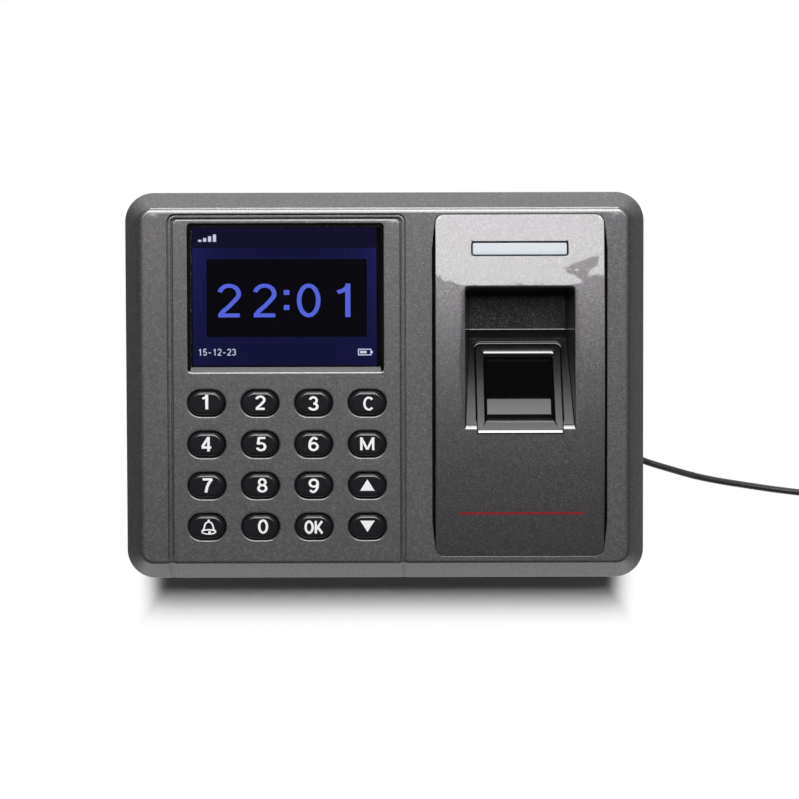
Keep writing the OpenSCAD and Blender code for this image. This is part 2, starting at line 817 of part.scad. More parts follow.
module keypad_mat() {
  color([0.5, 0.52, 0.54]) difference() {
    union() {
      translate([panel_x, mid_y, 0]) box(pad_w - 1, pad_h - 1, pad_top, pad_top + mat_t);
      at_keys() translate([0, 0, pad_top]) cylinder(r = stem_r + 1.6, h = mat_t + collar_h, $fn = 32);
    }
    at_keys() translate([0, 0, pad_top - 1]) cylinder(r = stem_r + 0.4, h = mat_t + collar_h + 2, $fn = 32);
    at_pad_posts() translate([0, 0, pad_top - 1]) cylinder(r = panel_post_r + 0.3, h = 6, $fn = 32);
  }
}

module keypad_board() {
  color([0.05, 0.3, 0.16]) difference() {
    translate([panel_x, mid_y, 0]) box(pad_w, pad_h, pad_top - board_t, pad_top);
    at_pad_posts() translate([0, 0, pad_top - 4]) cylinder(r = small_r + 0.15, h = 6, $fn = 24);
  }
}

module keypad_screws() {
  color([0.6, 0.6, 0.6]) at_pad_posts() translate([0, 0, pad_top - board_t]) {
    screw(small_r, board_t + 4, 1.7, 1);
  }
}

// One key cap with the flange that keeps it in and the stem that meets the board
module key_cap(c, r) {
  color([0.05, 0.05, 0.06]) translate([panel_x + (c - 1.5) * key_pitch_x, row_y - r * key_pitch_y, 0]) {
    translate([0, 0, flange_z]) linear_extrude(face_z + key_rise - flange_z) stadium(key_l, key_w);
    translate([0, 0, flange_z]) linear_extrude(flange_t) {
      stadium(key_l + 2 * key_side, key_w + 2 * key_side);
    }
    translate([0, 0, stem_low]) cylinder(r = stem_r, h = flange_z - stem_low + 0.5, $fn = 32);
  }
}

module key_1() { key_cap(0, 0); }
module key_2() { key_cap(1, 0); }
module key_3() { key_cap(2, 0); }
module key_clear() { key_cap(3, 0); }
module key_4() { key_cap(0, 1); }
module key_5() { key_cap(1, 1); }
module key_6() { key_cap(2, 1); }
module key_menu() { key_cap(3, 1); }
module key_7() { key_cap(0, 2); }
module key_8() { key_cap(1, 2); }
module key_9() { key_cap(2, 2); }
module key_up() { key_cap(3, 2); }
module key_bell() { key_cap(0, 3); }
module key_0() { key_cap(1, 3); }
module key_ok() { key_cap(2, 3); }
module key_down() { key_cap(3, 3); }

module indicator_lens() {
  color([0.75, 0.88, 1]) translate([cover_x, lens_y, 0]) {
    box(lens_l, lens_h, lens_seat - 1.2, lens_top);
    box(lens_l + 1, lens_h + 2.4, lens_seat - 1.2, lens_seat);
  }
}

module indicator_board() {
  color([0.05, 0.3, 0.16]) translate([cover_x, lens_y, 0]) box(lens_l + 9, 8, lamp_z - 1.2, lamp_z);
}

module indicator_lamps() {
  color([0.9, 0.9, 0.75]) for (x = [-1, 0, 1]) {
    translate([cover_x + x * lens_l * 0.3, lens_y, 0]) box(3.2, 2.8, lamp_z, lamp_z + 1.2);
  }
}

// Window of the sensor frame, narrowing from the frame's top down to the glass
module throat(open_w, open_l, low, high) {
  share = (high + 0.5 - low) / (high - low);
  side = throat_side * (share - 1);
  top = throat_top * (share - 1);
  end = throat_low * (share - 1);
  w = open_w / 2;
  l = open_l / 2;
  polyhedron(
    points = [
      [throat_side - w, throat_low - l, low], [w - throat_side, throat_low - l, low],
      [w - throat_side, l - throat_top, low], [throat_side - w, l - throat_top, low],
      [-w - side, -l - end, high + 0.5], [w + side, -l - end, high + 0.5],
      [w + side, l + top, high + 0.5], [-w - side, l + top, high + 0.5]
    ],
    faces = [[0, 1, 2, 3], [7, 6, 5, 4], [0, 4, 5, 1], [1, 5, 6, 2], [2, 6, 7, 3], [3, 7, 4, 0]]
  );
}

module sensor_bezel() {
  open_w = bezel_w - 2 * bezel_side;
  open_l = bezel_l - 2 * bezel_end;
  lip = 0.1 - glass_drop;
  color([0.09, 0.09, 0.1]) on_ramp() difference() {
    union() {
      translate([0, 0, bezel_low]) linear_extrude(bezel_rise - bezel_low) {
        round_rect(bezel_w, bezel_l, 1.2);
      }
      for (y = [-1, 1]) {
        translate([0, y * 9, 0]) box(bezel_w + 2.6, 7, bezel_low, -tub_t - 0.2);
      }
      translate([0, 0, -ramp_t]) linear_extrude(ramp_t) ramp_outline(0.25);
    }
    box(open_w, open_l, bezel_low - 1, lip);
    throat(open_w, open_l, lip - 0.3, bezel_rise);
  }
}

module sensor_prism() {
  h = glass_l / 2;
  color([0.55, 0.6, 0.62]) on_ramp() along_x(0, glass_w) polygon([
    [-h, -glass_drop], [h, -glass_drop], [h, -glass_drop - 2.6],
    [h - 8, house_low + 3], [-h, house_low + 3]
  ]);
}

module sensor_housing() {
  color([0.1, 0.1, 0.11]) on_ramp() difference() {
    union() {
      box(house_w, house_l, house_low, house_top);
      for (x = [-1, 1]) {
        translate([x * (ear_x + 2.4 + house_w / 2 - 1) / 2, 0, 0]) {
          box(ear_x + 2.4 - house_w / 2 + 1, 5, house_top - 2, house_top);
        }
      }
    }
    box(glass_w + 0.4, glass_l + 0.4, house_low + 1.6, house_top + 1);
    translate([0, 0, house_low - 1]) cylinder(r = 4, h = 5);
    for (x = [-1, 1]) {
      translate([x * lamp_x, 0, 0]) box(3.4, 7, house_low - 1, house_low + 3);
      translate([x * ear_x, 0, house_top - 5]) cylinder(r = small_r + 0.15, h = 8, $fn = 24);
    }
  }
}

module sensor_board() {
  color([0.05, 0.3, 0.16]) on_ramp() {
    box(house_w + 1, house_l + 1, house_low - sboard_t, house_low);
    translate([-9, 4, 0]) box(9, 5, house_low - sboard_t - 2.6, house_low - sboard_t + eps);
  }
}

module sensor_camera() {
  color([0.06, 0.06, 0.07]) on_ramp() difference() {
    translate([0, 0, house_low]) cylinder(r = 3.4, h = 2.3);
    translate([0, 0, house_low + 1.6]) cylinder(r = 1.8, h = 2);
  }
}

module sensor_lamps() {
  color([0.9, 0.9, 0.75]) on_ramp() for (x = [-1, 1], y = [-1, 1]) {
    translate([x * lamp_x, y * 1.7, 0]) box(2.4, 2.4, house_low, house_low + 1.1);
  }
}

module sensor_screws() {
  color([0.6, 0.6, 0.6]) on_ramp() for (x = [-1, 1]) {
    translate([x * ear_x, 0, house_top - 2]) screw(small_r, 4.2, 1.7, 1);
  }
}

// Where the harness of the sensor starts and ends
function ramp_point(x, y, z) = [
  cover_x + x,
  -bezel_y + y * cos(ramp_a) + z * sin(ramp_a),
  bezel_z - y * sin(ramp_a) + z * cos(ramp_a)
];

module sensor_harness() {
  a = ramp_point(-harness_x, harness_y, house_low - sboard_t - harness_drop);
  edge = main_edge;
  b = [edge - harness_end[0], a[1] - harness_end[1], main_top + harness_end[2]];
  color([0.75, 0.2, 0.15]) {
    cord([a, a + [-3, -0.2, -0.2], [edge + 5, b[1] + 0.6, b[2] + 0.6], b + [4, 0, 0], b], 1);
    translate([edge - 9, b[1], main_top]) box(6, 8, 0, 4.4);
  }
}

module main_board() {
  color([0.04, 0.26, 0.14]) difference() {
    translate([main_x, main_y, 0]) box(main_w, main_h, main_z, main_top);
    for (x = [-1, 1], y = [-1, 1]) {
      translate([main_x + x * main_hx, main_y + y * main_hy, main_z - 1]) {
        cylinder(r = small_r + 0.15, h = board_t + 2, $fn = 24);
      }
    }
  }
}

module main_chips() {
  color([0.07, 0.07, 0.08]) {
    translate([main_x - main_w * 0.045, main_y - main_h * 0.08, 0]) {
      box(chip_w, chip_w, main_top, main_top + chip_t);
    }
    translate([main_x - main_w * 0.25, main_y - main_h * 0.055, 0]) {
      box(flash_l, flash_w, main_top, main_top + flash_t);
    }
    translate([main_x + main_w * 0.16, main_y - main_h * 0.11, 0]) {
      box(flash_w, socket_w + 1, main_top, main_top + flash_t);
    }
    translate([view_x + 4, main_y + 11, 0]) box(socket_l, socket_w, main_top, main_top + chip_t);
    translate([main_x - main_w * 0.386, main_y + main_h * 0.3, 0]) {
      box(socket_w + 1, socket_w, main_top, main_top + chip_t);
    }
  }
}

module board_screws() {
  color([0.6, 0.6, 0.6]) for (x = [-1, 1], y = [-1, 1]) {
    translate([main_x + x * main_hx, main_y + y * main_hy, main_top]) {
      rotate([180, 0, 0]) screw(small_r, board_t + 2, 1.8, 1);
    }
  }
}

module lock_relay() {
  color([0.12, 0.25, 0.55]) translate([main_edge - 18, main_y - main_h / 2 + 10, 0]) {
    box(18, 14.6, main_top, main_top + 9);
  }
}

module cell_holder() {
  color([0.1, 0.1, 0.11]) translate([cell_x, cell_y, main_top]) difference() {
    cylinder(r = cell_r + 0.2 + cell_rim, h = cell_floor + cell_t);
    translate([0, 0, cell_floor]) cylinder(r = cell_r + 0.2, h = cell_t + 1);
  }
}

module coin_cell() {
  color([0.78, 0.78, 0.76]) translate([cell_x, cell_y, main_top + cell_floor]) {
    cylinder(r = cell_r, h = cell_t);
  }
}

module lead_header() {
  color([0.85, 0.83, 0.75]) translate([main_edge - 4, exit_y, 0]) {
    box(6, 8, main_top, main_top + 5);
  }
}

module speaker() {
  color([0.15, 0.15, 0.16]) translate([horn_x, horn_y, wall]) {
    cylinder(r = horn_r, h = horn_t);
  }
}

module speaker_magnet() {
  color([0.5, 0.5, 0.5]) translate([horn_x, horn_y, wall + horn_t]) {
    cylinder(r = magnet_r, h = magnet_t);
  }
}

module lead_grip() {
  x = rear_w / 2;
  color([0.06, 0.06, 0.06]) translate([0, exit_y, exit_z]) rotate([0, 90, 0]) {
    rotate_extrude() polygon([
      [0, x - wall - 1.8], [4.2, x - wall - 1.8], [4.2, x - wall - 0.1], [2.75, x - wall - 0.1],
      [2.75, x + 0.6], [2.1, exit_x], [0, exit_x]
    ]);
  }
}

module lead_wires() {
  x = rear_w / 2 - wall - 1.8;
  edge = main_edge;
  color([0.6, 0.1, 0.1]) for (y = [-1.2, 1.2]) {
    cord([
      [x, exit_y + y, exit_z], [x - 4, exit_y + y, exit_z], [edge + 12, exit_y + y, exit_z + 2],
      [edge + 6, exit_y + y, exit_z + 3], [edge + 1, exit_y + y, main_top + 2.4],
      [edge - 1, exit_y + y, main_top + 2.5]
    ], 0.6);
  }
}

module power_lead() {
  color([0.03, 0.03, 0.03]) cord(lead_path, lead_r);
}

module lead_coil() {
  color([0.03, 0.03, 0.03]) translate([coil_x, coil_y, 0]) difference() {
    rotate_extrude($fn = 96) translate([ring_in, 0]) square([ring_out - ring_in, ring_h]);
    tie_slot(0, 0.02);
  }
}

// The band round the bundle of turns, on the side of the coil away from the case's top
module tie_slot(deeper, more) {
  rotate([0, 0, 45]) translate([coil_r, 0, 0]) difference() {
    box(ring_out - ring_in + 8, tie_w + more, -1, ring_h + 1);
    box(ring_out - ring_in - 2 * tie_t - 2 * more - deeper, 30, tie_t + more, ring_h - tie_t - more);
  }
}

module lead_tail() {
  color([0.03, 0.03, 0.03]) cord(tail_path, lead_r);
}

module coil_tie() {
  color([0.05, 0.05, 0.05]) translate([coil_x, coil_y, 0]) rotate([0, 0, 45]) {
    translate([coil_r, 0, 0]) difference() {
      box(ring_out - ring_in - 0.1, tie_w, 0, ring_h);
      box(ring_out - ring_in - 2 * tie_t, 30, tie_t, ring_h - tie_t);
    }
  }
}

module plug_body() {
  color([0.04, 0.04, 0.04]) translate([plug_x, plug_y, 0]) difference() {
    translate([-7.8, 0, 0]) cube([15.6, 24, plug_h]);
    for (x = [-1, 1], i = [0:3]) {
      translate([x * 7.8, 6 + i * 2.4, plug_h / 2]) cube([1, 1, 4], center = true);
    }
  }
}

module plug_shell() {
  color([0.75, 0.75, 0.76]) translate([plug_x, plug_y + 24, plug_h / 2]) difference() {
    translate([-6, 0, -2.25]) cube([12, 14, 4.5]);
    translate([-5.7, 1, 0]) cube([11.4, 14, 1.95]);
  }
}

front_shell();
keypad_panel();
scanner_cover();
rear_shell();
wall_plate();
plate_screw();
case_screws();
cover_screws();
lcd_window();
lcd_panel();
lcd_frame();
lcd_ribbon();
keypad_mat();
keypad_board();
keypad_screws();
key_1();
key_2();
key_3();
key_clear();
key_4();
key_5();
key_6();
key_menu();
key_7();
key_8();
key_9();
key_up();
key_bell();
key_0();
key_ok();
key_down();
indicator_lens();
indicator_board();
indicator_lamps();
sensor_bezel();
sensor_prism();
sensor_housing();
sensor_board();
sensor_camera();
sensor_lamps();
sensor_screws();
sensor_harness();
main_board();
main_chips();
board_screws();
lock_relay();
cell_holder();
coin_cell();
lead_header();
speaker();
speaker_magnet();
lead_grip();
lead_wires();
power_lead();
lead_coil();
lead_tail();
coil_tie();
plug_body();
plug_shell();
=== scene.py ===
import json
import math

import bmesh
import bpy
import numpy as np
from mathutils import Matrix, Vector
from mathutils.geometry import delaunay_2d_cdt


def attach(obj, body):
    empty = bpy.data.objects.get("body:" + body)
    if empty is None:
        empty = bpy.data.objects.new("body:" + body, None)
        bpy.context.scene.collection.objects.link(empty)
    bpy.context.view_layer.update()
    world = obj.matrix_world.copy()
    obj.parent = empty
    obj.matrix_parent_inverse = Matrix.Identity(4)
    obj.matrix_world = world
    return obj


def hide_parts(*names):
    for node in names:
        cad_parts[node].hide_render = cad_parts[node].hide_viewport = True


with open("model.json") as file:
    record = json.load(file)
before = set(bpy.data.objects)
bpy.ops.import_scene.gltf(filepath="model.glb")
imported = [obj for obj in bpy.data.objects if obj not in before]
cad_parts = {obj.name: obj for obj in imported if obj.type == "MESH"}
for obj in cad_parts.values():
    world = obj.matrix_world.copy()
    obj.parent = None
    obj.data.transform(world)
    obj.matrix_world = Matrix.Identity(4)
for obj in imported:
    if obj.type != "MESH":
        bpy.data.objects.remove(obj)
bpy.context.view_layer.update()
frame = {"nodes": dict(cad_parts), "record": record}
nodes = frame["nodes"]
scene = bpy.context.scene
mm = 0.001  # sizes below are in mm, as in the part's source
print("frame loaded:", len(nodes), "nodes")

# Camera, nearly straight over the face
photoCamera = {
    "place": (5.09, 14.874, 635.68),
    "right": (0.9999965, -0.0026355, 0.0000858),
    "up": (0.0026369, 0.9994675, -0.032533),
    "lens": 78.696,
    "sensor": 36.0,
}


def makeCamera(view):
    # the camera looks along minus (right x up)
    right, up = Vector(view["right"]), Vector(view["up"])
    turned = Matrix((right, up, right.cross(up))).transposed().to_4x4()
    data = bpy.data.cameras.new("photo_camera")
    data.lens, data.sensor_width, data.sensor_fit = view["lens"], view["sensor"], "HORIZONTAL"
    camera = bpy.data.objects.new("photo_camera", data)
    scene.collection.objects.link(camera)
    camera.matrix_world = Matrix.Translation(Vector(view["place"]) * mm) @ turned
    scene.camera = camera


makeCamera(photoCamera)
scene.view_settings.view_transform = "Standard"
print("camera set")


class Wire:
    # a socket in a finish's node tree: arithmetic on it adds Math nodes
    def __init__(self, finish, socket):
        self.finish, self.socket = finish, socket

    def work(self, operation, *terms):
        return self.finish.node("ShaderNodeMath", {"operation": operation}, dict(enumerate(terms)))

    def __add__(self, other):
        return self.work("ADD", self, other)

    def __radd__(self, other):
        return self.work("ADD", other, self)

    def __sub__(self, other):
        return self.work("SUBTRACT", self, other)

    def __rsub__(self, other):
        return self.work("SUBTRACT", other, self)

    def __mul__(self, other):
        return self.work("MULTIPLY", self, other)

    def __rmul__(self, other):
        return self.work("MULTIPLY", other, self)

    def __truediv__(self, other):
        return self.work("DIVIDE", self, other)

    def __rtruediv__(self, other):
        return self.work("DIVIDE", other, self)

    def __gt__(self, other):
        return self.work("GREATER_THAN", self, other)

    def __lt__(self, other):
        return self.work("LESS_THAN", self, other)

    def __abs__(self):
        return self.work("ABSOLUTE", self)


class Finish:
    # one material, or the world; node() adds a node, sets its settings first and then feeds its sockets
    def __init__(self, name, world=None):
        self.material = world or bpy.data.materials.new(name)
        self.material.use_nodes = True
        self.tree = self.material.node_tree
        self.shader = self.tree.nodes.get("Principled BSDF")
        self.place = None

    def node(self, kind, settings=None, sockets=None, out=0):
        made = self.tree.nodes.new(kind)
        for key, value in (settings or {}).items():
            if key == "stops":
                self.setStops(made.color_ramp, value)
            else:
                setattr(made, key, value)
        for key, value in (sockets or {}).items():
            self.feed(made.inputs[key], value)
        return Wire(self, made.outputs[out])

    def setStops(self, ramp, stops):
        while len(ramp.elements) < len(stops):
            ramp.elements.new(0.5)
        for element, (spot, colour) in zip(ramp.elements, stops):
            element.position, element.color = spot, colour

    def feed(self, socket, value):
        if isinstance(value, Wire):
            self.tree.links.new(value.socket, socket)
        else:
            socket.default_value = value

    def set(self, sockets):
        for key, value in sockets.items():
            self.feed(self.shader.inputs[key], value)
        return self

    def where(self):
        # the point of the piece, in metres, in its own frame
        if self.place is None:
            self.place = self.node("ShaderNodeTexCoord", out="Object")
        return self.place

    def axes(self):
        split = self.node("ShaderNodeSeparateXYZ", None, {0: self.where()}).socket.node
        return [Wire(self, split.outputs[i]) for i in range(3)]

    def noise(self, grain, detail=2.0, rough=0.5):
        # noise with lumps about one grain (mm) across, from 0 to 1
        sockets = {"Vector": self.where(), "Scale": 1 / (grain * mm), "Detail": detail, "Roughness": rough}
        return self.node("ShaderNodeTexNoise", {"noise_dimensions": "3D"}, sockets, "Fac")

    def cells(self, grain):
        # one chance value from 0 to 1 in each cell about one grain (mm) across
        sockets = {"Vector": self.where(), "Scale": 1 / (grain * mm)}
        spread = self.node("ShaderNodeTexVoronoi", {"voronoi_dimensions": "3D"}, sockets, "Color")
        return self.node("ShaderNodeSeparateColor", None, {0: spread}, "Red")

    def blend(self, share, low, high):
        return self.node("ShaderNodeMix", {"data_type": "RGBA"}, {"Factor": share, 6: low, 7: high}, 2)

    def ramp(self, value, stops):
        return self.node("ShaderNodeValToRGB", {"stops": stops}, {"Fac": value})

    def bump(self, height, strength, depth):
        sockets = {"Height": height, "Strength": strength, "Distance": depth * mm}
        return self.node("ShaderNodeBump", None, sockets)

    def reach(self, value, low, high, kind="LINEAR"):
        # 0 at the low value, 1 at the high one
        sockets = {"Value": value, "From Min": low, "From Max": high}
        return self.node("ShaderNodeMapRange", {"interpolation_type": kind}, sockets)

    def larger(self, first, second):
        return self.node("ShaderNodeMath", {"operation": "MAXIMUM"}, {0: first, 1: second})

    def show(self, shader):
        self.feed(self.tree.nodes["Material Output"].inputs["Surface"], shader)

    def shine(self, colour, strength=1.0):
        # a surface that only gives light
        self.show(self.node("ShaderNodeEmission", None, {"Color": colour, "Strength": strength}))
        return self


def grey(level, alpha=1.0):
    return (level, level, level, alpha)


paintMix = {"flake": 0.6, "fleck": 0.4, "fleckSize": 1.9, "middle": 0.55, "deepCoat": 0.5, "depth": 0.25}
plasticMix = {"rough": 0.74, "grain": 0.32, "cloud": 0.2, "deepRough": 0.55, "depth": 0.2}
metalMix = {"lines": 0.6, "cloud": 0.4, "rough": 0.2, "tilt": 0.12, "depth": 0.02}


def metalPaint(name, look, mix=paintMix):
    # metal flake paint under a clear coat: each flake has its own tone and tilt
    paint = Finish(name)
    flake, fleck = paint.cells(look["flake"]), paint.cells(look["flake"] * mix["fleckSize"])
    cloud = paint.noise(look["cloud"], 3.0)
    share = flake * mix["flake"] + fleck * mix["fleck"] + (cloud - 0.5) * look["cloudShare"]
    stops = [(0.0, look["dark"]), (mix["middle"], look["middle"]), (1.0, look["light"])]
    colour = paint.ramp(share, stops)
    coat = look["coat"]
    if "deep" in look:  # painted shade down in the finger well: the tones darken with depth, and the coat is weaker there
        low, high = look["deep"]
        height = paint.reach(paint.axes()[2], low * mm, high * mm, "SMOOTHSTEP")
        wellShade = [(spot, tuple(np.array(tone[:3]) * part) + (1,)) for (spot, tone), part in zip(stops, look["wellShade"])]
        colour = paint.blend(height, paint.ramp(share, wellShade), colour)
        coat = (height * (1 - mix["deepCoat"]) + mix["deepCoat"]) * look["coat"]
    return paint.set({
        "Base Color": colour,
        "Metallic": look["metal"],
        "Roughness": look["rough"] + (flake - 0.5) * look["roughSpread"],
        "Normal": paint.bump(flake, look["tilt"], look["flake"] * mix["depth"]),
        "Coat Weight": coat,
        "Coat Roughness": look["coatRough"],
        "Coat IOR": look["coatIor"],
        "Specular IOR Level": look["gloss"],
    })


def mouldedPlastic(name, look, mix=plasticMix):
    # moulded plastic: fine spark-eroded grain, with a little unevenness in tone and gloss
    plastic = Finish(name)
    grain, cloud = plastic.noise(look["grain"], 2.0), plastic.noise(look["cloud"], 3.0)
    rough = (mix["rough"] + grain * mix["grain"] + cloud * mix["cloud"]) * look["rough"]
    if "deep" in look:  # smoother where fingers do not reach
        low, high = look["deep"]
        height = plastic.reach(plastic.axes()[2], low * mm, high * mm)
        rough = rough * (height * (1 - mix["deepRough"]) + mix["deepRough"])
    coat = look.get("coat", 0.0)
    for middle, half, low, high in look.get("polish", ()):  # edges that fingers have worn to a shine
        x, y = plastic.axes()[:2]
        coat = (abs(x - middle * mm) < half * mm) * (y > low * mm) * (y < high * mm) + coat
    return plastic.set({
        "Base Color": plastic.blend(cloud, look["dark"], look["light"]),
        "Roughness": rough,
        "Normal": plastic.bump(grain, look["tilt"], look["grain"] * mix["depth"]),
        "Coat Weight": coat,
        "Coat Roughness": look.get("coatRough", 0.12),
        "Specular IOR Level": look.get("gloss", 0.5),
    })


def brushedMetal(name, look, mix=metalMix):
    # sheet or turned metal: fine scratches one way and slow changes of tone
    dark, light, stretch, scratches, clouds, rough = look
    metal = Finish(name)
    spot = metal.node("ShaderNodeMapping", None, {"Vector": metal.where(), "Scale": stretch})
    lines = metal.node("ShaderNodeTexNoise", None, {"Vector": spot, "Scale": scratches, "Detail": 3.0}, "Fac")
    cloud = metal.noise(clouds, 2.0)
    return metal.set({
        "Base Color": metal.blend(lines * mix["lines"] + cloud * mix["cloud"], dark, light),
        "Metallic": 1.0,
        "Roughness": rough + (lines - 0.5) * mix["rough"],
        "Normal": metal.bump(lines, mix["tilt"], mix["depth"]),
    })


def plain(dark, light, grain, cloud, rough, tilt, **more):
    # a plastic's row: tones as a grey level or as red, green and blue, grain and cloud in mm
    dark, light = (grey(tone) if isinstance(tone, float) else tone + (1,) for tone in (dark, light))
    return {"dark": dark, "light": light, "grain": grain, "cloud": cloud, "rough": rough, "tilt": tilt, **more}


paintLooks = {
    "shell": {
        "dark": (0.068, 0.065, 0.068, 1), "middle": (0.089, 0.085, 0.089, 1), "light": (0.165, 0.158, 0.164, 1),
        "flake": 0.26, "cloud": 9.0, "cloudShare": 0.1, "metal": 0.6, "rough": 0.5, "roughSpread": 0.1, "tilt": 0.2,
        "coat": 1.0, "coatRough": 0.1, "coatIor": 1.6, "gloss": 0.5,
    },
    "cover": {
        "dark": (0.094, 0.09, 0.094, 1), "middle": (0.122, 0.117, 0.122, 1), "light": (0.19, 0.182, 0.189, 1),
        "flake": 0.26, "cloud": 9.0, "cloudShare": 0.1, "metal": 0.8, "rough": 0.36, "roughSpread": 0.1, "tilt": 0.2,
        "coat": 1.0, "coatRough": 0.015, "coatIor": 1.56, "gloss": 0.15, "deep": (20.0, 36.0),
        # painted shade in the finger well: shares of the tones left at its bottom
        "wellShade": (0.075, 0.09, 0.27),
    },
}
plasticLooks = {
    "key": plain((0.0104, 0.0098, 0.0122), (0.0124, 0.0118, 0.0146), 0.3, 4.0, 0.17, 0.04),
    "bezel": plain(0.003, 0.006, 0.25, 6.0, 0.13, 0.04, deep=(23.0, 35.0), coatRough=0.06,
                   polish=((46.415, 15.0, -16.4, -15.2), (46.415, 12.3, 9.6, 11.9))),  # middle, half, low, high
    "rear": plain(0.018, 0.032, 0.5, 20.0, 0.55, 0.35),
    # black strip in the cover's gap: painted shade
    "seal": plain(0.003, 0.006, 0.3, 3.0, 0.9, 0.3, gloss=0.1),
    "trim": plain(0.002, 0.004, 0.3, 6.0, 0.24, 0.05),
    "black": plain(0.008, 0.016, 0.4, 10.0, 0.5, 0.2),
    "screenBlack": plain(0.0008, 0.0016, 0.3, 6.0, 0.3, 0.02, gloss=0.3),
    "rubber": plain(0.011, 0.022, 0.35, 12.0, 0.4, 0.1, coat=0.6, coatRough=0.28),
    "silicone": plain(0.05, 0.08, 0.5, 8.0, 0.6, 0.1),
    "board": plain((0.006, 0.06, 0.03), (0.012, 0.1, 0.05), 0.6, 5.0, 0.4, 0.1, coat=0.3),
    "relay": plain((0.01, 0.03, 0.16), (0.015, 0.045, 0.22), 0.4, 6.0, 0.4, 0.1),
    "header": plain((0.62, 0.58, 0.46), (0.72, 0.69, 0.58), 0.4, 3.0, 0.45, 0.1),
    "ribbon": plain((0.25, 0.09, 0.02), (0.34, 0.13, 0.03), 0.6, 6.0, 0.35, 0.1),
    "wire": plain((0.3, 0.01, 0.01), (0.42, 0.02, 0.015), 0.4, 6.0, 0.4, 0.1),
    "print": plain(0.74, 0.85, 0.15, 2.0, 0.45, 0.05),
    "redPrint": plain((0.16, 0.006, 0.008), (0.22, 0.009, 0.011), 0.15, 2.0, 0.4, 0.05),
    "lampBody": plain(0.6, 0.75, 0.3, 2.0, 0.3, 0.05),
}
metalLooks = {  # tones, stretch of the scratches, their number in a metre, size of the clouds in mm, roughness
    "zinc": (grey(0.34), grey(0.5), (1, 1, 1), 260.0, 5.0, 0.36),
    "steel": (grey(0.05), grey(0.1), (1, 1, 4), 900.0, 3.0, 0.35),
    "bright": (grey(0.55), grey(0.75), (1, 12, 1), 700.0, 4.0, 0.25),
    "magnet": (grey(0.3), grey(0.42), (1, 1, 1), 500.0, 3.0, 0.4),
}


def makeFinishes():
    made = {key + "Paint": metalPaint(key + "_paint", look) for key, look in paintLooks.items()}
    made.update({key: mouldedPlastic(key + "_plastic", look) for key, look in plasticLooks.items()})
    made.update({key: brushedMetal(key + "_metal", look) for key, look in metalLooks.items()})
    return made


finishes = makeFinishes()
print("finishes made:", len(finishes))


def roundedPath(points, radii, steps):
    # a path whose inner corners are arcs that touch both of their sides
    points = np.asarray(points, float)
    made = [points[:1]]
    for before, corner, after, radius in zip(points[:-2], points[1:-1], points[2:], radii):
        into = (corner - before) / np.linalg.norm(corner - before)
        away = (after - corner) / np.linalg.norm(after - corner)
        turn = math.acos(np.clip(into @ away, -1, 1))
        side = away - into * math.cos(turn)
        side /= np.linalg.norm(side)
        angle = np.linspace(0, turn, steps + 1)[:, None]
        start = corner - radius * math.tan(turn / 2) * into
        made.append(start + radius * (np.sin(angle) * into + (1 - np.cos(angle)) * side))
    return np.concatenate(made + [points[-1:]])


def cornerLoop(halfX, halfY, radius, steps, middle=(0, 0)):
    # rounded rectangle: a ring inset by d is centre + (radius - d) * outward, all round
    angle = np.linspace(0, math.pi / 2, steps + 1)
    angle = np.concatenate([angle + quarter * math.pi / 2 for quarter in range(4)])
    signs = np.repeat([[1, 1], [-1, 1], [-1, -1], [1, -1]], steps + 1, 0)
    centres = signs * np.array([halfX - radius, halfY - radius]) + np.array(middle, float)
    return centres, np.stack([np.cos(angle), np.sin(angle)], 1), radius


def boxLoop(box, radius, steps):
    # the rounded rectangle of a box left, right, low, high
    left, right, low, high = box
    return cornerLoop((right - left) / 2, (high - low) / 2, radius, steps, ((left + right) / 2, (low + high) / 2))


def sidePath(left, right, top, low, radius, steps):
    # up the left side, over the top with round corners and down the right side
    angle = np.linspace(math.pi, 0, 2 * steps + 2)
    angle[:steps + 1] = np.linspace(math.pi, math.pi / 2, steps + 1)
    angle[steps + 1:] = np.linspace(math.pi / 2, 0, steps + 1)
    spots = np.repeat([[left + radius, top - radius], [right - radius, top - radius]], steps + 1, 0)
    centres = np.concatenate([[[left + radius, low]], spots, [[right - radius, low]]])
    outward = np.concatenate([[[-1, 0]], np.stack([np.cos(angle), np.sin(angle)], 1), [[1, 0]]])
    return centres, outward, radius


def flatRings(loop, insets):
    # the loop moved in by each inset, which is one for a whole ring or one for each of its places
    centres, outward, radius = loop
    insets = np.asarray(insets, float)
    insets = insets[:, None] if insets.ndim == 1 else insets
    return centres[None] + (radius - insets)[..., None] * outward[None]


def raised(flat, heights):
    # flat rings with their heights: one per ring, one per place, or a function of the ring's y
    z = np.asarray(heights(flat[..., 1]) if callable(heights) else heights, float)
    z = np.broadcast_to(z[:, None] if z.ndim == 1 else z, flat.shape[:2])
    return np.concatenate([flat, z[..., None]], 2)


def rings(loop, insets, heights):
    # one ring at each inset, at its height
    return raised(flatRings(loop, insets), heights)


def ease(share):
    # from 0 to 1 with a gentle start and end
    return share * share * (3 - 2 * share)


def edgeRound(radius, steps=4):
    # from the face over a rounded edge: how far it still is from the wall, and how far it has dropped
    angle = np.linspace(0, math.pi / 2, steps + 1)
    return radius - radius * np.sin(angle), radius - radius * np.cos(angle)


def slopedEdge(radius, slope, lean, steps):
    # as edgeRound, but the round ends at a lean in degrees and runs on as a slope of the given width
    angle = np.radians(np.linspace(0, lean, steps + 1))
    gap = slope + radius * (np.sin(angle[-1]) - np.sin(angle))
    drop = radius * (1 - np.cos(angle))
    return np.append(gap, 0.0), np.append(drop, drop[-1] + slope * np.tan(angle[-1]))


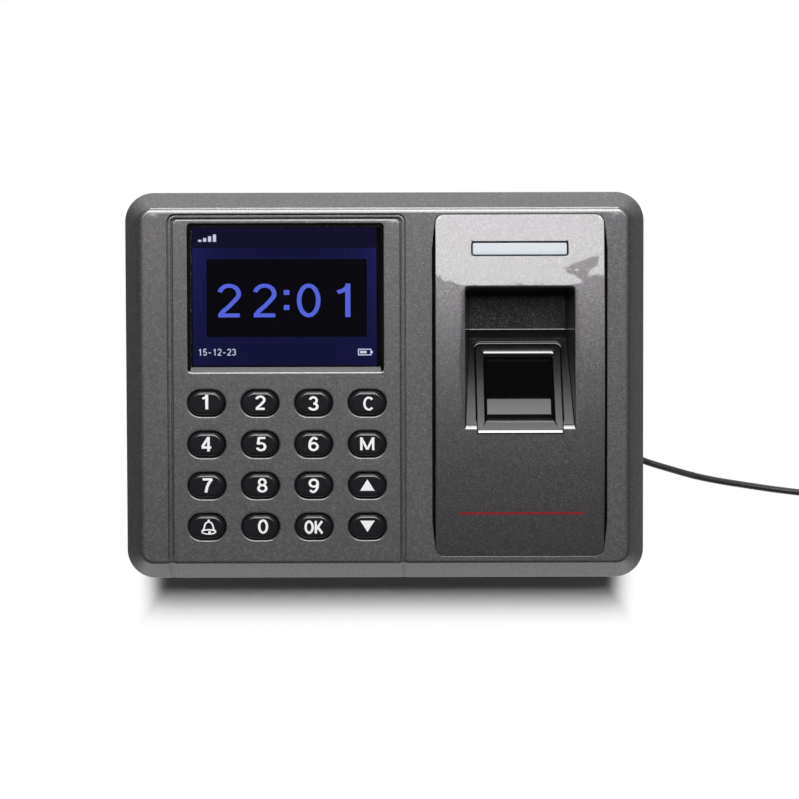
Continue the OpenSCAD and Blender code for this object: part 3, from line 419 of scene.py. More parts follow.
def gridFaces(points, closed=True, flip=False):
    # quads between neighbouring rows of a grid of points
    index = np.arange(points.shape[0] * points.shape[1]).reshape(points.shape[:2])
    if closed:
        index = np.concatenate([index, index[:, :1]], 1)
    quads = np.stack([index[:-1, :-1], index[:-1, 1:], index[1:, 1:], index[1:, :-1]], -1)
    return quads[..., ::-1] if flip else quads


def grid(points, closed=True, flip=False):
    # a grid of points as one part of a piece
    return points.reshape(-1, 3), gridFaces(points, closed, flip).reshape(-1, 4)


def insideLoops(spots, loops):
    # even-odd rule over the edges of all loops
    start = np.concatenate(loops)
    end = np.concatenate([np.roll(loop, -1, 0) for loop in loops])
    across = (start[:, 1] > spots[:, None, 1]) != (end[:, 1] > spots[:, None, 1])
    rise = np.where(np.abs(end[:, 1] - start[:, 1]) < 1e-12, 1e-12, end[:, 1] - start[:, 1])
    meet = start[:, 0] + (spots[:, None, 1] - start[:, 1]) * (end[:, 0] - start[:, 0]) / rise
    return (across & (spots[:, None, 0] < meet)).sum(1) % 2 == 1


def loopDistance(spots, loops):
    # distance from each spot to the nearest edge of the loops
    start = np.concatenate(loops)[None]
    along = np.concatenate([np.roll(loop, -1, 0) for loop in loops])[None] - start
    share = ((spots[:, None] - start) * along).sum(2) / np.maximum((along**2).sum(2), 1e-12)
    return np.linalg.norm(spots[:, None] - start - np.clip(share, 0, 1)[..., None] * along, axis=2).min(1)


def triangles(loops, spots, bands, flip=False):
    # triangles between the loops and the spots, kept where their middle is inside one of the bands of loops
    starts = np.cumsum([0] + [len(loop) for loop in loops])
    edges = [np.stack([np.arange(len(loop)), np.roll(np.arange(len(loop)), -1)], 1) + start
             for loop, start in zip(loops, starts)]
    flat = [Vector(spot) for spot in np.concatenate(loops + spots).tolist()]
    made = delaunay_2d_cdt(flat, np.concatenate(edges).tolist(), [], 0, 1e-5, True)
    flat, faces = np.array([spot[:] for spot in made[0]]), np.array(made[2])
    middles = flat[faces].mean(1)
    faces = faces[np.any([insideLoops(middles, band) for band in bands], 0)]
    first, second = flat[faces[:, 1]] - flat[faces[:, 0]], flat[faces[:, 2]] - flat[faces[:, 0]]
    backwards = first[:, 0] * second[:, 1] - first[:, 1] * second[:, 0] < 0
    return flat, np.where((backwards != flip)[:, None], faces[:, ::-1], faces)


def heightsAt(height, flat):
    # height is a number or a function of x and y
    z = height(flat[:, 0], flat[:, 1]) if callable(height) else np.full(len(flat), height)
    return np.concatenate([flat, z[:, None]], 1)


def fillArea(loops, height, pitch=None, flip=False):
    # triangles inside the first loop and outside the others, with a mesh of spots between them if a pitch is given
    loops = [np.asarray(loop, float) for loop in loops]
    spots = []
    if pitch:
        low, high = loops[0].min(0), loops[0].max(0)
        counts = np.ceil((high - low) / pitch).astype(int) + 1
        mesh = np.stack(np.meshgrid(*[np.linspace(low[i], high[i], counts[i]) for i in (0, 1)]), -1).reshape(-1, 2)
        mesh = mesh[insideLoops(mesh, loops)]
        spots = [mesh[loopDistance(mesh, loops) > pitch * 0.45]]
    flat, faces = triangles(loops, spots, [loops], flip)
    return heightsAt(height, flat), faces


def markOpenEdges(mesh):
    # an edge of one face stays sharp, so that the wall behind it doesn't bend the skin's shading
    corners = np.zeros(len(mesh.loops), int)
    mesh.loops.foreach_get("edge_index", corners)
    crisp = mesh.attributes.get("sharp_edge") or mesh.attributes.new("sharp_edge", "BOOLEAN", "EDGE")
    marks = np.zeros(len(mesh.edges), bool)
    crisp.data.foreach_get("value", marks)
    crisp.data.foreach_set("value", marks | (np.bincount(corners, minlength=len(marks)) == 1))


def addMesh(name, points, faces, finish):
    # a new object at the origin, with its place in its mesh
    mesh = bpy.data.meshes.new(name)
    mesh.from_pydata(points.reshape(-1, 3).tolist(), [], faces)
    mesh.materials.append(finish.material)
    made = bpy.data.objects.new(name, mesh)
    scene.collection.objects.link(made)
    return made


def joined(parts):
    # all points of the parts, and their faces counted on from part to part
    starts = np.cumsum([0] + [len(points) for points, faces in parts])
    faces = [(np.asarray(corners) + start).tolist() for (points, corners), start in zip(parts, starts)]
    return np.concatenate([points for points, corners in parts]), sum(faces, [])


def makePiece(name, parts, finish, replaced=(), body="terminal", wall=0.0, sharp=42.0, closed=False):
    # joins the parts' points (mm) and faces into one mesh, merges their seams and smooths it
    points, faces = joined([(np.asarray(spots, float).reshape(-1, 3) * mm, corners) for spots, corners in parts])
    piece = addMesh(name, points, faces, finish)
    mesh = piece.data
    work = bmesh.new()
    work.from_mesh(mesh)
    bmesh.ops.remove_doubles(work, verts=work.verts, dist=2e-6)
    bmesh.ops.dissolve_degenerate(work, edges=work.edges, dist=1e-7)
    loose = [spot for spot in work.verts if not spot.link_faces]
    bmesh.ops.delete(work, geom=loose, context="VERTS")
    if closed:
        bmesh.ops.recalc_face_normals(work, faces=work.faces)
    work.to_mesh(mesh)
    work.free()
    mesh.polygons.foreach_set("use_smooth", np.ones(len(mesh.polygons), bool))
    mesh.set_sharp_from_angle(angle=math.radians(sharp))
    markOpenEdges(mesh)
    if wall:
        thick = piece.modifiers.new("wall", "SOLIDIFY")
        thick.thickness, thick.offset, thick.use_even_offset = wall * mm, -1.0, False
    even = piece.modifiers.new("even_normals", "WEIGHTED_NORMAL")
    even.keep_sharp = True
    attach(piece, body)
    if replaced:
        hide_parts(*replaced)
    return piece


# Power lead: out of the grip, down to the table, one coil in a tie, then the plug
leadSizes = {
    "diameter": 2.4,
    "exit": (87.0, -26.398, 8.0),
    "runX": (0, 2.5, 5, 7, 11, 16, 21.5, 27, 34, 42, 53, 63.4, 72),
    "runY": (0, -0.3, -1.05, -1.85, -3.15, -4.65, -6.3, -7.75, -9.2, -10.55, -12.25, -13.6, -14.5),
    "drop": (0, 0, -0.1, -0.4, -0.9, -1.7, -3.0, -4.4, -5.4, -6.1, -6.6, -6.8, -6.8),
    "toCoil": ((166, -41.55, 1.2),),  # from here on the lead is wound up
    "coilMiddle": (173.0, -26.0),
    "turnRadii": (15.8, 13.2, 10.6),
    "layerHeights": (1.2, 3.8, 6.4, 9.0),
    "turns": 10.25,
    "shiftShare": 0.9,  # share of the spare angle that a step to the next turn takes
    "tieAngle": 45.0,
    "tieSqueeze": 0.87,
    "tieReach": 17.0,  # degrees
    "tail": ((188.8, -20, 9), (189.2, -13, 8.7), (190, -6, 7.0), (190.7, 1, 5.2), (191, 8, 4.0), (191, 16, 3.8)),
    "sides": 12,
}


def smoothRun(points, steps):
    # Catmull-Rom curve through the points
    points = np.asarray(points, float)
    padded = np.concatenate([2 * points[:1] - points[1:2], points, 2 * points[-1:] - points[-2:-1]])
    p0, p1, p2, p3 = (padded[i:len(padded) - 3 + i, None] for i in range(4))
    t = np.linspace(0, 1, steps, endpoint=False)[None, :, None]
    curve = 0.5 * (2 * p1 + (p2 - p0) * t + (2 * p0 - 5 * p1 + 4 * p2 - p3) * t**2
                   + (3 * p1 - p0 - 3 * p2 + p3) * t**3)
    return np.concatenate([curve.reshape(-1, 3), points[-1:]])


def coilRun(lead):
    # turns beside and on each other; each step to the next turn comes a little before the last one did
    radii, heights = np.array(lead["turnRadii"]), np.array(lead["layerHeights"])
    slotR = np.concatenate([radii if i % 2 == 0 else radii[::-1] for i in range(len(heights))])
    slotZ = np.repeat(heights, len(radii))
    whole = lead["turns"] * 2 * math.pi
    period = whole / len(slotR)
    width = (2 * math.pi - period) * lead["shiftShare"]
    angle = np.linspace(0, whole, int(lead["turns"] * 60))
    step = np.clip((angle[:, None] - period * np.arange(1, len(slotR))) / width + 0.5, 0, 1)
    step = step - np.sin(2 * math.pi * step) / (2 * math.pi)
    r = slotR[0] + step @ np.diff(slotR)
    z = slotZ[0] + step @ np.diff(slotZ)
    turned = angle - math.pi / 2
    away = (np.degrees(turned) - lead["tieAngle"] + 180) % 360 - 180
    squeeze = 1 - (1 - lead["tieSqueeze"]) * np.exp(-((away / lead["tieReach"]) ** 4))
    r = radii.mean() + (r - radii.mean()) * squeeze
    z = heights.mean() + (z - heights.mean()) * squeeze
    x, y = lead["coilMiddle"]
    return np.stack([x + r * np.cos(turned), y + r * np.sin(turned), z], 1)


def leadRoute(lead):
    # from the grip down to the table, round the coil and off to the plug
    first = np.stack([lead["runX"], lead["runY"], lead["drop"]], 1) + np.array(lead["exit"])
    coil = coilRun(lead)
    steps = 10  # the two runs share their last and first two stretches with the coil
    first = smoothRun(np.concatenate([first, lead["toCoil"], coil[:3]]), steps)[:-2 * steps]
    last = smoothRun(np.concatenate([coil[-3:], lead["tail"]]), steps)[2 * steps:]
    return np.concatenate([first, coil[1:-1], last])


def tube(path, radius, sides):
    # a circle carried along the path, turned as little as it can be from ring to ring
    ahead = np.gradient(path, axis=0)
    ahead /= np.linalg.norm(ahead, axis=1)[:, None]
    level = np.cross(ahead, [0, 0, 1.0])
    level /= np.linalg.norm(level, axis=1)[:, None]
    over = np.cross(level, ahead)
    angle = np.linspace(0, 2 * math.pi, sides, endpoint=False)[None, :, None]
    return path[:, None] + radius * (np.cos(angle) * level[:, None] + np.sin(angle) * over[:, None])


def capRow(points, end):
    # closes the end of a tube or loft on its own middle
    return np.repeat(points[end].mean(0)[None, None], points.shape[1], 1)


def closedTube(points):
    # a tube or loft with both ends closed
    return np.concatenate([capRow(points, 0), points, capRow(points, -1)])


def makeLead(lead):
    # a circle of the lead's own diameter carried along its route
    path = leadRoute(lead)
    skin = closedTube(tube(path, lead["diameter"] / 2, lead["sides"]))
    piece = makePiece("power_lead_cord", [grid(skin)], finishes["rubber"],
                      ("power_lead", "lead_coil", "lead_tail"), sharp=60, closed=True)
    length = np.linalg.norm(np.diff(path, axis=0), axis=1).sum()
    print("lead:", round(length, 1), "mm")
    return piece, path * mm, length * mm


# Ends of the lead: grip at the case, plug, tie round the coil
gripSizes = {"start": 82.5, "end": 87.0, "wide": 2.75, "narrow": 2.1, "ridges": 3, "ridge": 0.18}
plugSizes = {
    "middleX": 191.0, "y": (16.0, 40.0), "halfX": 7.8, "halfZ": 3.8, "neck": 2.2, "neckLong": 5.0, "corner": 3.0,
    "endRound": 1.0, "endCorner": 0.6, "ridge": 0.35, "ridgeY": (24.0, 33.0), "ridgePitch": 1.8,
    "sleeveX": 6.0, "sleeveY": (40.0, 54.0), "sleeveZ": 2.25, "sleeveCorner": 0.6, "sleeveEdge": (0.12, 0.15),
    "sleeveIn": 0.5, "sleeveRow": 6.0, "hollowX": 5.65, "hollowZ": 0.975, "hollowUp": 0.925, "hollowCorner": 0.2,
    "hollowEdge": 0.1, "hollowFloor": 3.0,
}
tieSizes = {"radius": 13.2, "halfR": 3.75, "halfZ": 5.1, "wide": 6.0, "corner": 1.6, "wall": 0.45, "edge": 0.15,
            "innerEdge": 0.1, "edgeWide": 0.2}


def makeLeadGrip(grip):
    # a cone along x with ridges as a cosine of its length
    along = np.linspace(0, 1, 40)
    radius = grip["wide"] + (grip["narrow"] - grip["wide"]) * along
    radius -= grip["ridge"] * (0.5 - 0.5 * np.cos(2 * math.pi * grip["ridges"] * along))
    middle = np.array(leadSizes["exit"])
    x = grip["start"] + (grip["end"] - grip["start"]) * along - middle[0]
    path = middle + np.stack([x, 0 * along, 0 * along], 1)
    angle = np.linspace(0, 2 * math.pi, 28, endpoint=False)
    ring = np.stack([0 * angle, np.cos(angle), np.sin(angle)], 1)
    points = closedTube(path[:, None] + radius[:, None, None] * ring)
    makePiece("lead_grip_sleeve", [grid(points)], finishes["rubber"], ("lead_grip",), closed=True)


def makePlug(plug):
    # the grip is a rounded rectangle that grows from the neck to its full size along y, with ridges on two sides
    neck, (low, high) = plug["neck"], plug["y"]
    rowY = low + plug["neckLong"]
    y = np.concatenate([np.linspace(low, rowY, 10), np.linspace(rowY, high, 60)[1:]])
    share = ease(np.clip((y - low) / plug["neckLong"], 0, 1))
    end = np.sqrt(np.clip(1 - np.clip((y - high + plug["endRound"]), 0, 1) ** 2, 0.0, 1)) - 1
    start, stop = plug["ridgeY"]
    wave = 0.5 - 0.5 * np.cos(2 * math.pi * (y - start) / plug["ridgePitch"])
    ridges = np.where((y > start) & (y < stop), wave, 0.0) * plug["ridge"]
    halfX = neck + (plug["halfX"] - neck) * share + end - ridges
    halfZ = neck + (plug["halfZ"] - neck) * share + end
    corner = neck + (plug["corner"] - neck) * share + end * plug["endCorner"]
    sign, outward = cornerLoop(2, 2, 1, 6)[:2]
    x = sign[:, 0] * (halfX - corner)[:, None] + corner[:, None] * outward[:, 0]
    z = sign[:, 1] * (halfZ - corner)[:, None] + corner[:, None] * outward[:, 1]
    points = np.stack([plug["middleX"] + x, np.broadcast_to(y[:, None], x.shape), plug["halfZ"] + z], 2)
    makePiece("plug_grip", [grid(closedTube(points))], finishes["rubber"], ("plug_body",), closed=True)
    # the steel sleeve: out along its outside and back down its hollow
    middle = (plug["middleX"], plug["halfZ"])
    outer = cornerLoop(plug["sleeveX"], plug["sleeveZ"], plug["sleeveCorner"], 4, middle)
    hollow = cornerLoop(plug["hollowX"], plug["hollowZ"], plug["hollowCorner"], 4,
                        (middle[0], middle[1] + plug["hollowUp"]))
    low, high = plug["sleeveY"]
    inset, edge = plug["sleeveEdge"]
    flat = np.concatenate([flatRings(outer, [0, 0, 0, inset]), flatRings(hollow, [-plug["hollowEdge"], 0, 0])])
    y = np.array([low - plug["sleeveIn"], low + plug["sleeveRow"], high - edge, high, high, high - edge,
                  low + plug["hollowFloor"]])
    points = np.stack([flat[..., 0], np.broadcast_to(y[:, None], flat.shape[:2]), flat[..., 1]], 2)
    makePiece("plug_sleeve", [grid(closedTube(points))], finishes["bright"], ("plug_shell",),
              closed=True)


def makeCoilTie(tie):
    # a band round the coil's section, turned to the tie's place on the coil
    loop = cornerLoop(tie["halfR"], tie["halfZ"], tie["corner"], 5, (tie["radius"], tie["halfZ"]))
    half, wall, edge = tie["wide"] / 2, tie["wall"], tie["edge"]
    inner, row = wall - tie["innerEdge"], half - tie["edgeWide"]
    flat = flatRings(loop, [edge, 0, 0, edge, inner, wall, wall, inner, edge])
    side = np.array([-half, -row, row, half, half, row, -row, -half, -half])
    turn = math.radians(leadSizes["tieAngle"])
    x, y = leadSizes["coilMiddle"]
    side = np.broadcast_to(side[:, None], flat.shape[:2])
    points = np.stack([x + flat[..., 0] * math.cos(turn) - side * math.sin(turn),
                       y + flat[..., 0] * math.sin(turn) + side * math.cos(turn), flat[..., 1]], 2)
    makePiece("coil_tie_band", [grid(points)], finishes["black"], ("coil_tie",), closed=True)


makeLeadGrip(gripSizes)
makePlug(plugSizes)
makeCoilTie(tieSizes)
print("lead ends made")

leadCord, leadPath, leadLength = makeLead(leadSizes)

# Front shell: bevelled tray with the seat of the keypad panel and the opening of the scanner cover
caseSizes = {
    "halfX": 90.0, "halfY": 67.0, "corner": 10.0, "face": 36.0, "rim": 28.0, "parting": 18.0, "bevel": 6.2,
    "rimShare": 0.25,  # how much of its depth a sunk skin keeps at the rim
    "rimLean": 0.342,  # how much the rim drops for each mm that the skin sinks there
    "edgeLean": 0.49,  # how much the face's edge steps in for each mm that the skin sinks
    "rimRound": 1.1, "faceRound": (1.4, 2.3, 2.9), "footRound": 0.4, "footLedge": 0.6, "flatInset": 7.62,
    "wall": 1.6, "cornerSteps": 16,
}
seatSizes = {"left": -74.6, "right": 7.33, "top": 59.05, "corner": 2.8, "depth": 1.4, "lip": 0.15,
             "bevelDepth": 0.55, "open": (-71.4, 4.1, -57.2, 55.8), "openCorner": 0.8}
beadSizes = {"insets": (0.5, 1.25), "drop": 0.22, "round": 0.12}
panelSizes = {"left": -72.85, "right": 5.58, "top": 57.3, "corner": 1.8, "edgeRound": 0.5, "edgeDepth": 0.95,
              "wall": 0.8, "rimRow": 11}  # the row of the case's profile at which the panel ends
coverSizes = {"middleX": 46.415, "halfX": 28.985, "halfY": 58.7, "corner": 3.0, "sideGap": 1.1, "endGap": 0.06,
              "gapEnds": (46.0, 57.5), "bulge": 2.8, "archR": 616.7, "edgeRound": 0.22, "skirt": 5.0, "wall": 1.2,
              "pitch": 2.0, "holeRound": 0.12, "holeLedge": 5.0, "holeDepth": 5.6}
# the gap's black strip of painted shade: each place as a share of the gap's width, and a depth
gapShadeSizes = {"section": ((0.98, 4.6), (0.1, 4.6), (0.1, 2.7), (0.5, 2.5), (0.98, 2.7))}
lowY = -(caseSizes["halfY"] - caseSizes["flatInset"])


def coverLoop():
    # outline of the cover with extra places along its sides, where its gap closes in towards the ends
    cover = coverSizes
    centres, outward, radius = cornerLoop(cover["halfX"], cover["halfY"], cover["corner"], 8, (cover["middleX"], 0))
    y = np.linspace(-1, 1, 26)[1:-1] * (cover["halfY"] - cover["corner"])
    half, left, right = len(centres) // 2, centres[:, 0].min(), centres[:, 0].max()
    sides = [np.stack([0 * y + left, -y], 1), np.stack([0 * y + right, y], 1)]
    centres = np.concatenate([centres[:half], sides[0], centres[half:], sides[1]])
    sides = [np.stack([0 * y + way, 0 * y], 1) for way in (-1.0, 1.0)]
    outward = np.concatenate([outward[:half], sides[0], outward[half:], sides[1]])
    return centres, outward, radius


def coverGap(loop):
    # width of the gap at each place of the cover's outline
    cover = coverSizes
    start, end = cover["gapEnds"]
    share = np.clip((end - np.abs(loop[0][:, 1] + loop[2] * loop[1][:, 1])) / (end - start), 0, 1)
    return cover["endGap"] + (cover["sideGap"] - cover["endGap"]) * ease(share)


def caseProfile(sunk, faceRound):
    # inset and height from the parting line up the wall, over the bevel and on to the face
    case = caseSizes
    edge = case["bevel"] + case["edgeLean"] * sunk
    top = case["face"] - sunk
    low = sunk * case["rimShare"]
    points = [(low + case["footLedge"], case["parting"]), (low, case["parting"]),
              (low, case["rim"] - case["rimLean"] * low), (edge, top), (case["flatInset"], top)]
    return roundedPath(points, (case["footRound"], case["rimRound"], faceRound), 6)


def caseSkin(spotX, spotY, outwardX, outwardY, sunk):
    # the case's profile at each place along its outline, sunk there by its own depth, its face rounder along the top
    turn = np.interp(outwardY, (-1, 0, 1), caseSizes["faceRound"])
    profile = np.stack([caseProfile(*spot) for spot in zip(sunk, turn)]).transpose(1, 0, 2)
    reach = caseSizes["corner"] - profile[..., 0]
    return np.stack([spotX + reach * outwardX, spotY + reach * outwardY, profile[..., 1]], 2)


def makeFrontShell():
    # the case's profile carried round its outline, sunk where the panel runs over the bevel; a flat face fills it
    case, seat, cover = caseSizes, seatSizes, coverSizes
    face = case["face"]
    centres, outward = cornerLoop(case["halfX"], case["halfY"], case["corner"], case["cornerSteps"])[:2]
    gap, drop = edgeRound(seat["lip"])
    bevelDrop = np.append(drop, seat["bevelDepth"])
    gap, drop = np.append(gap, 0.0), np.append(drop, seat["depth"])
    spotX = np.concatenate([seat["left"] - gap, seat["right"] + gap[::-1]])
    split = 3 * (case["cornerSteps"] + 1)
    spots = np.stack([spotX, np.full(len(spotX), -(case["halfY"] - case["corner"]))], 1)
    centres = np.concatenate([centres[:split], spots, centres[split:]])
    outward = np.concatenate([outward[:split], np.repeat([[0.0, -1.0]], len(spotX), 0), outward[split:]])
    sunk = np.zeros(len(centres))
    sunk[split:split + len(spotX)] = np.concatenate([bevelDrop, bevelDrop[::-1]])
    skin = caseSkin(centres[:, 0], centres[:, 1], outward[:, 0], outward[:, 1], sunk)
    path = sidePath(seat["left"], seat["right"], seat["top"], lowY, seat["corner"], 6)
    seatWall = rings(path, -gap, face - drop)
    last = skin[-1, :, :2]
    rim = np.concatenate([last[split + len(spotX) - 1:], last[:split + 1], seatWall[0, 1:-1, :2]])
    hole = coverLoop()
    holeGap, holeDrop = edgeRound(cover["holeRound"])
    insets = np.concatenate([-holeGap, [0.0, cover["holeLedge"]]])
    holeWall = rings(hole, insets, face - np.concatenate([holeDrop, 2 * [cover["holeDepth"]]]))
    holeWall[..., :2] += coverGap(hole)[:, None] * hole[1]
    well = flatRings(boxLoop(seat["open"], seat["openCorner"], 3), [0])[0]
    x, z = np.meshgrid((seat["left"], seat["right"]), face - np.array([seat["depth"], seat["bevelDepth"]]))
    parts = [
        grid(skin),
        grid(seatWall, False, True),
        grid(np.stack([x, np.full(x.shape, lowY), z], 2), False, True),
        grid(holeWall),
        fillArea([rim, holeWall[0, :, :2]], face),
        fillArea([seatWall[-1, ::-1, :2], well], face - seat["depth"]),
    ]
    return makePiece("front_shell_skin", parts, finishes["shellPaint"], ("front_shell",),
                     wall=case["wall"])


def makeGrooveBead():
    # a low rounded strip in the middle of the groove round the keypad panel
    seat, bead = seatSizes, beadSizes
    gap, drop = edgeRound(bead["round"], 3)
    start, end = bead["insets"]
    insets = np.concatenate([[start], start + gap[::-1], end - gap, [end]])
    drops = np.concatenate([[seat["depth"]], bead["drop"] + drop[::-1], bead["drop"] + drop, [seat["depth"]]])
    path = sidePath(seat["left"], seat["right"], seat["top"], lowY, seat["corner"], 6)
    points = rings(path, insets, caseSizes["face"] - drops).transpose(1, 0, 2)
    makePiece("groove_bead", [grid(closedTube(points))], finishes["shellPaint"], closed=True)


def makeGapShadeStrip():
    # a black strip down in the gap, painted shade where the lamp lights the gap along its length: its place is a
    # share of the gap's width out from the cover, at its own depth
    centres, outward, radius = coverLoop()
    share, drop = np.array(gapShadeSizes["section"]).T
    reach = radius + share[:, None] * coverGap((centres, outward, radius))
    flat = centres[None] + reach[..., None] * outward[None]
    points = raised(flat, caseSizes["face"] - drop)
    points = np.concatenate([points, points[:1]])
    makePiece("cover_gap_shade_strip", [grid(points)], finishes["seal"], closed=True)


makeFrontShell()
makeGrooveBead()
makeGapShadeStrip()
print("front shell made")

# Keypad panel: flat plate with the display's flare and the key holes, run down over the lower bevel
displaySizes = {"middle": (-33.94, 30.75), "halfX": 32.82, "halfY": 24.35, "corner": 0.3, "edgeRound": 0.95,
                "lean": 45.0, "flare": 0.63, "flareLow": 1.7, "flareTop": 0.8, "floor": 33.6}
trimSizes = {"start": 3, "lift": 0.05, "thick": 0.2, "lip": 0.15}
keySizes = {
    "columns": (-61.25, -42.84, -24.43, -6.02), "rows": (-5.72, -19.91, -34.11, -48.30),
    "halfX": 6.2, "halfY": 4.2, "gap": 0.35, "holeRound": 0.65, "holeFloor": 33.5,
    "top": 37.35, "shoulder": 37.33, "flat": 0.6, "edgeRound": 0.9, "sideLean": 52.0, "slope": 0.6,
    "flange": 0.9, "flangeZ": (32.3, 33.3),
    "stem": 2.4, "stemZ": 30.1,
}


def keyMiddles():
    # row by row from the top left
    x, y = np.meshgrid(keySizes["columns"], keySizes["rows"])
    return np.stack([x, y], 2).reshape(-1, 2)


def displayFlare(lift):
    # rings from the panel's face over a rounded edge and down a slope, larger along the opening's near side
    display = displaySizes
    away, fall = slopedEdge(display["edgeRound"], display["flare"], display["lean"], 6)
    low, top = display["flareLow"], display["flareTop"]
    x, y = display["middle"]
    loops = [cornerLoop(display["halfX"] + out, display["halfY"] + out * (low + top) / 2, display["corner"] + out, 5,
                        (x, y + out * (top - low) / 2)) for out in away]
    grow = np.interp(loops[0][1][:, 1], (-1, 0, 1), (low, 1, top))
    return np.concatenate([rings(loop, [0.0], caseSizes["face"] + lift - drop * grow[None])
                           for loop, drop in zip(loops, fall)])


def makeDisplayTrim():
    # black lining laid on the flare, from its foot to near its outer edge
    skin = displayFlare(trimSizes["lift"])[trimSizes["start"]:]
    under = displayFlare(-trimSizes["thick"])[trimSizes["start"]:]
    skin[-1, :, :2] += (under[-1, :, :2] - under[-2, :, :2]) * trimSizes["lip"]
    under[-1, :, :2] = skin[-1, :, :2]
    points = np.concatenate([skin, under[::-1], skin[:1]])
    makePiece("display_trim", [grid(points)], finishes["trim"], closed=True)


def makeKeypadPanel():
    # a flat face with a rounded edge on three sides; the case's profile, sunk a little less, takes it over the bevel
    panel, display, key = panelSizes, displaySizes, keySizes
    face = caseSizes["face"]
    gap, drop = edgeRound(panel["edgeRound"])
    gap, drop = np.append(gap, 0.0)[::-1], np.append(drop, panel["edgeDepth"])[::-1]
    spotX = np.concatenate([panel["left"] + gap, panel["right"] - gap[::-1]])
    one = np.ones(len(spotX))
    skin = caseSkin(spotX, (caseSizes["corner"] - caseSizes["halfY"]) * one, 0 * one, -one,
                    np.concatenate([drop, drop[::-1]]))[panel["rimRow"]:]
    path = sidePath(panel["left"], panel["right"], panel["top"], lowY, panel["corner"], 6)
    edge = rings(path, gap, face - drop)
    outline = np.concatenate([skin[-1, len(gap) - 1:-len(gap) + 1, :2], edge[-1, ::-1, :2][1:-1]])
    flare = displayFlare(0.0)
    wallFoot = flare[-1:] * [1, 1, 0] + [0, 0, display["floor"]]
    flare = np.concatenate([flare, wallFoot])
    holeGap, holeDrop = edgeRound(key["holeRound"])
    parts, loops = [grid(skin, False), grid(edge, False, True), grid(flare)], [outline, flare[0, :, :2]]
    for middle in keyMiddles():
        radius = key["halfY"] + key["gap"]
        hole = cornerLoop(key["halfX"] + key["gap"], radius, radius, 10, middle)
        wall = rings(hole, np.append(-holeGap, 0.0), np.append(face - holeDrop, key["holeFloor"]))
        parts.append(grid(wall))
        loops.append(wall[0, :, :2])
    parts.append(fillArea(loops, face))
    return makePiece("keypad_panel_skin", parts, finishes["shellPaint"], ("keypad_panel",),
                     wall=panel["wall"])


makeKeypadPanel()
makeDisplayTrim()
print("keypad panel made")


# Keys: a stem, a flange and a stadium cap with a rounded edge and a low crown
def keyTop(x, y):
    # flat over the key's middle, then falling off as a parabola towards its edge
    key = keySizes
    away = np.hypot(np.maximum(np.abs(x) - (key["halfX"] - key["halfY"]), 0), y) / key["halfY"]
    share = np.maximum(away - key["flat"], 0) / (1 - key["flat"])
    return key["top"] - (key["top"] - key["shoulder"]) * share**2


def makeKey(name, middle):
    # from the flat top over a small round onto a sloped side, which ends at the upright wall
    key = keySizes
    halfX, halfY, flange = key["halfX"], key["halfY"], key["flange"]
    stem, stemZ, (lowZ, topZ) = halfY - key["stem"], key["stemZ"], key["flangeZ"]
    gap, drop = slopedEdge(key["edgeRound"], key["slope"], key["sideLean"], 6)
    crown = np.append(np.linspace(gap[0], (1 - key["flat"]) * halfY, 5), halfY)[1:]
    shoulder = (keyTop(halfX - halfY, halfY - gap) - drop)[::-1]
    insets = np.concatenate([[halfY, stem, stem, -flange, -flange, 0.0], gap[::-1], crown])
    heights = np.concatenate([[stemZ, stemZ, lowZ, lowZ, topZ, topZ], shoulder, keyTop(halfX - halfY, halfY - crown)])
    stretch = np.where(np.arange(len(insets)) < 3, 0.0, 1.0)[:, None, None]  # the stem is round
    centres, outward, radius = cornerLoop(halfX, halfY, halfY, 10)
    flat = centres[None] * stretch + (radius - insets)[:, None, None] * outward[None] + middle
    return makePiece(name + "_cap", [grid(raised(flat, heights))], finishes["key"], (name,), name,
                     closed=True)


keyNames = ("key_1", "key_2", "key_3", "key_clear", "key_4", "key_5", "key_6", "key_menu",
            "key_7", "key_8", "key_9", "key_up", "key_bell", "key_0", "key_ok", "key_down")
keyPlaces = dict(zip(keyNames, keyMiddles()))
for keyName, keyMiddle in keyPlaces.items():
    makeKey(keyName, keyMiddle)
print("keys made:", len(keyPlaces))

# Scanner cover: an arched plate with the finger well and the slot of the lit strip
wellSizes = {
    "halfX": 18.785, "top": 33.61, "low": -14.62, "deep": 19.49, "floor": 22.0, "draft": 1.8, "beyond": 6.0,
    "rimTop": 0.8, "rimLow": 1.9, "fold": 1.0, "foot": 0.6, "topCorner": 1.4, "lowCorner": 0.25, "sideRound": 0.45,
    "holeX": 13.6, "holeY": (-13.61, -5.0, 4.0, 12.19),
}
lensSizes = {"middleY": 46.9, "halfX": 16.1, "halfY": 2.02, "corner": 0.4, "gap": 0.5, "sunk": 0.25, "round": 0.25,
             "depth": 2.6, "slotRound": 0.15, "slotDepth": 2.0}


def archZ(y):
    # height of the cover: an arc along y that is highest in the middle
    cover = coverSizes
    return caseSizes["face"] + cover["bulge"] - cover["archR"] + np.sqrt(cover["archR"] ** 2 - y**2)


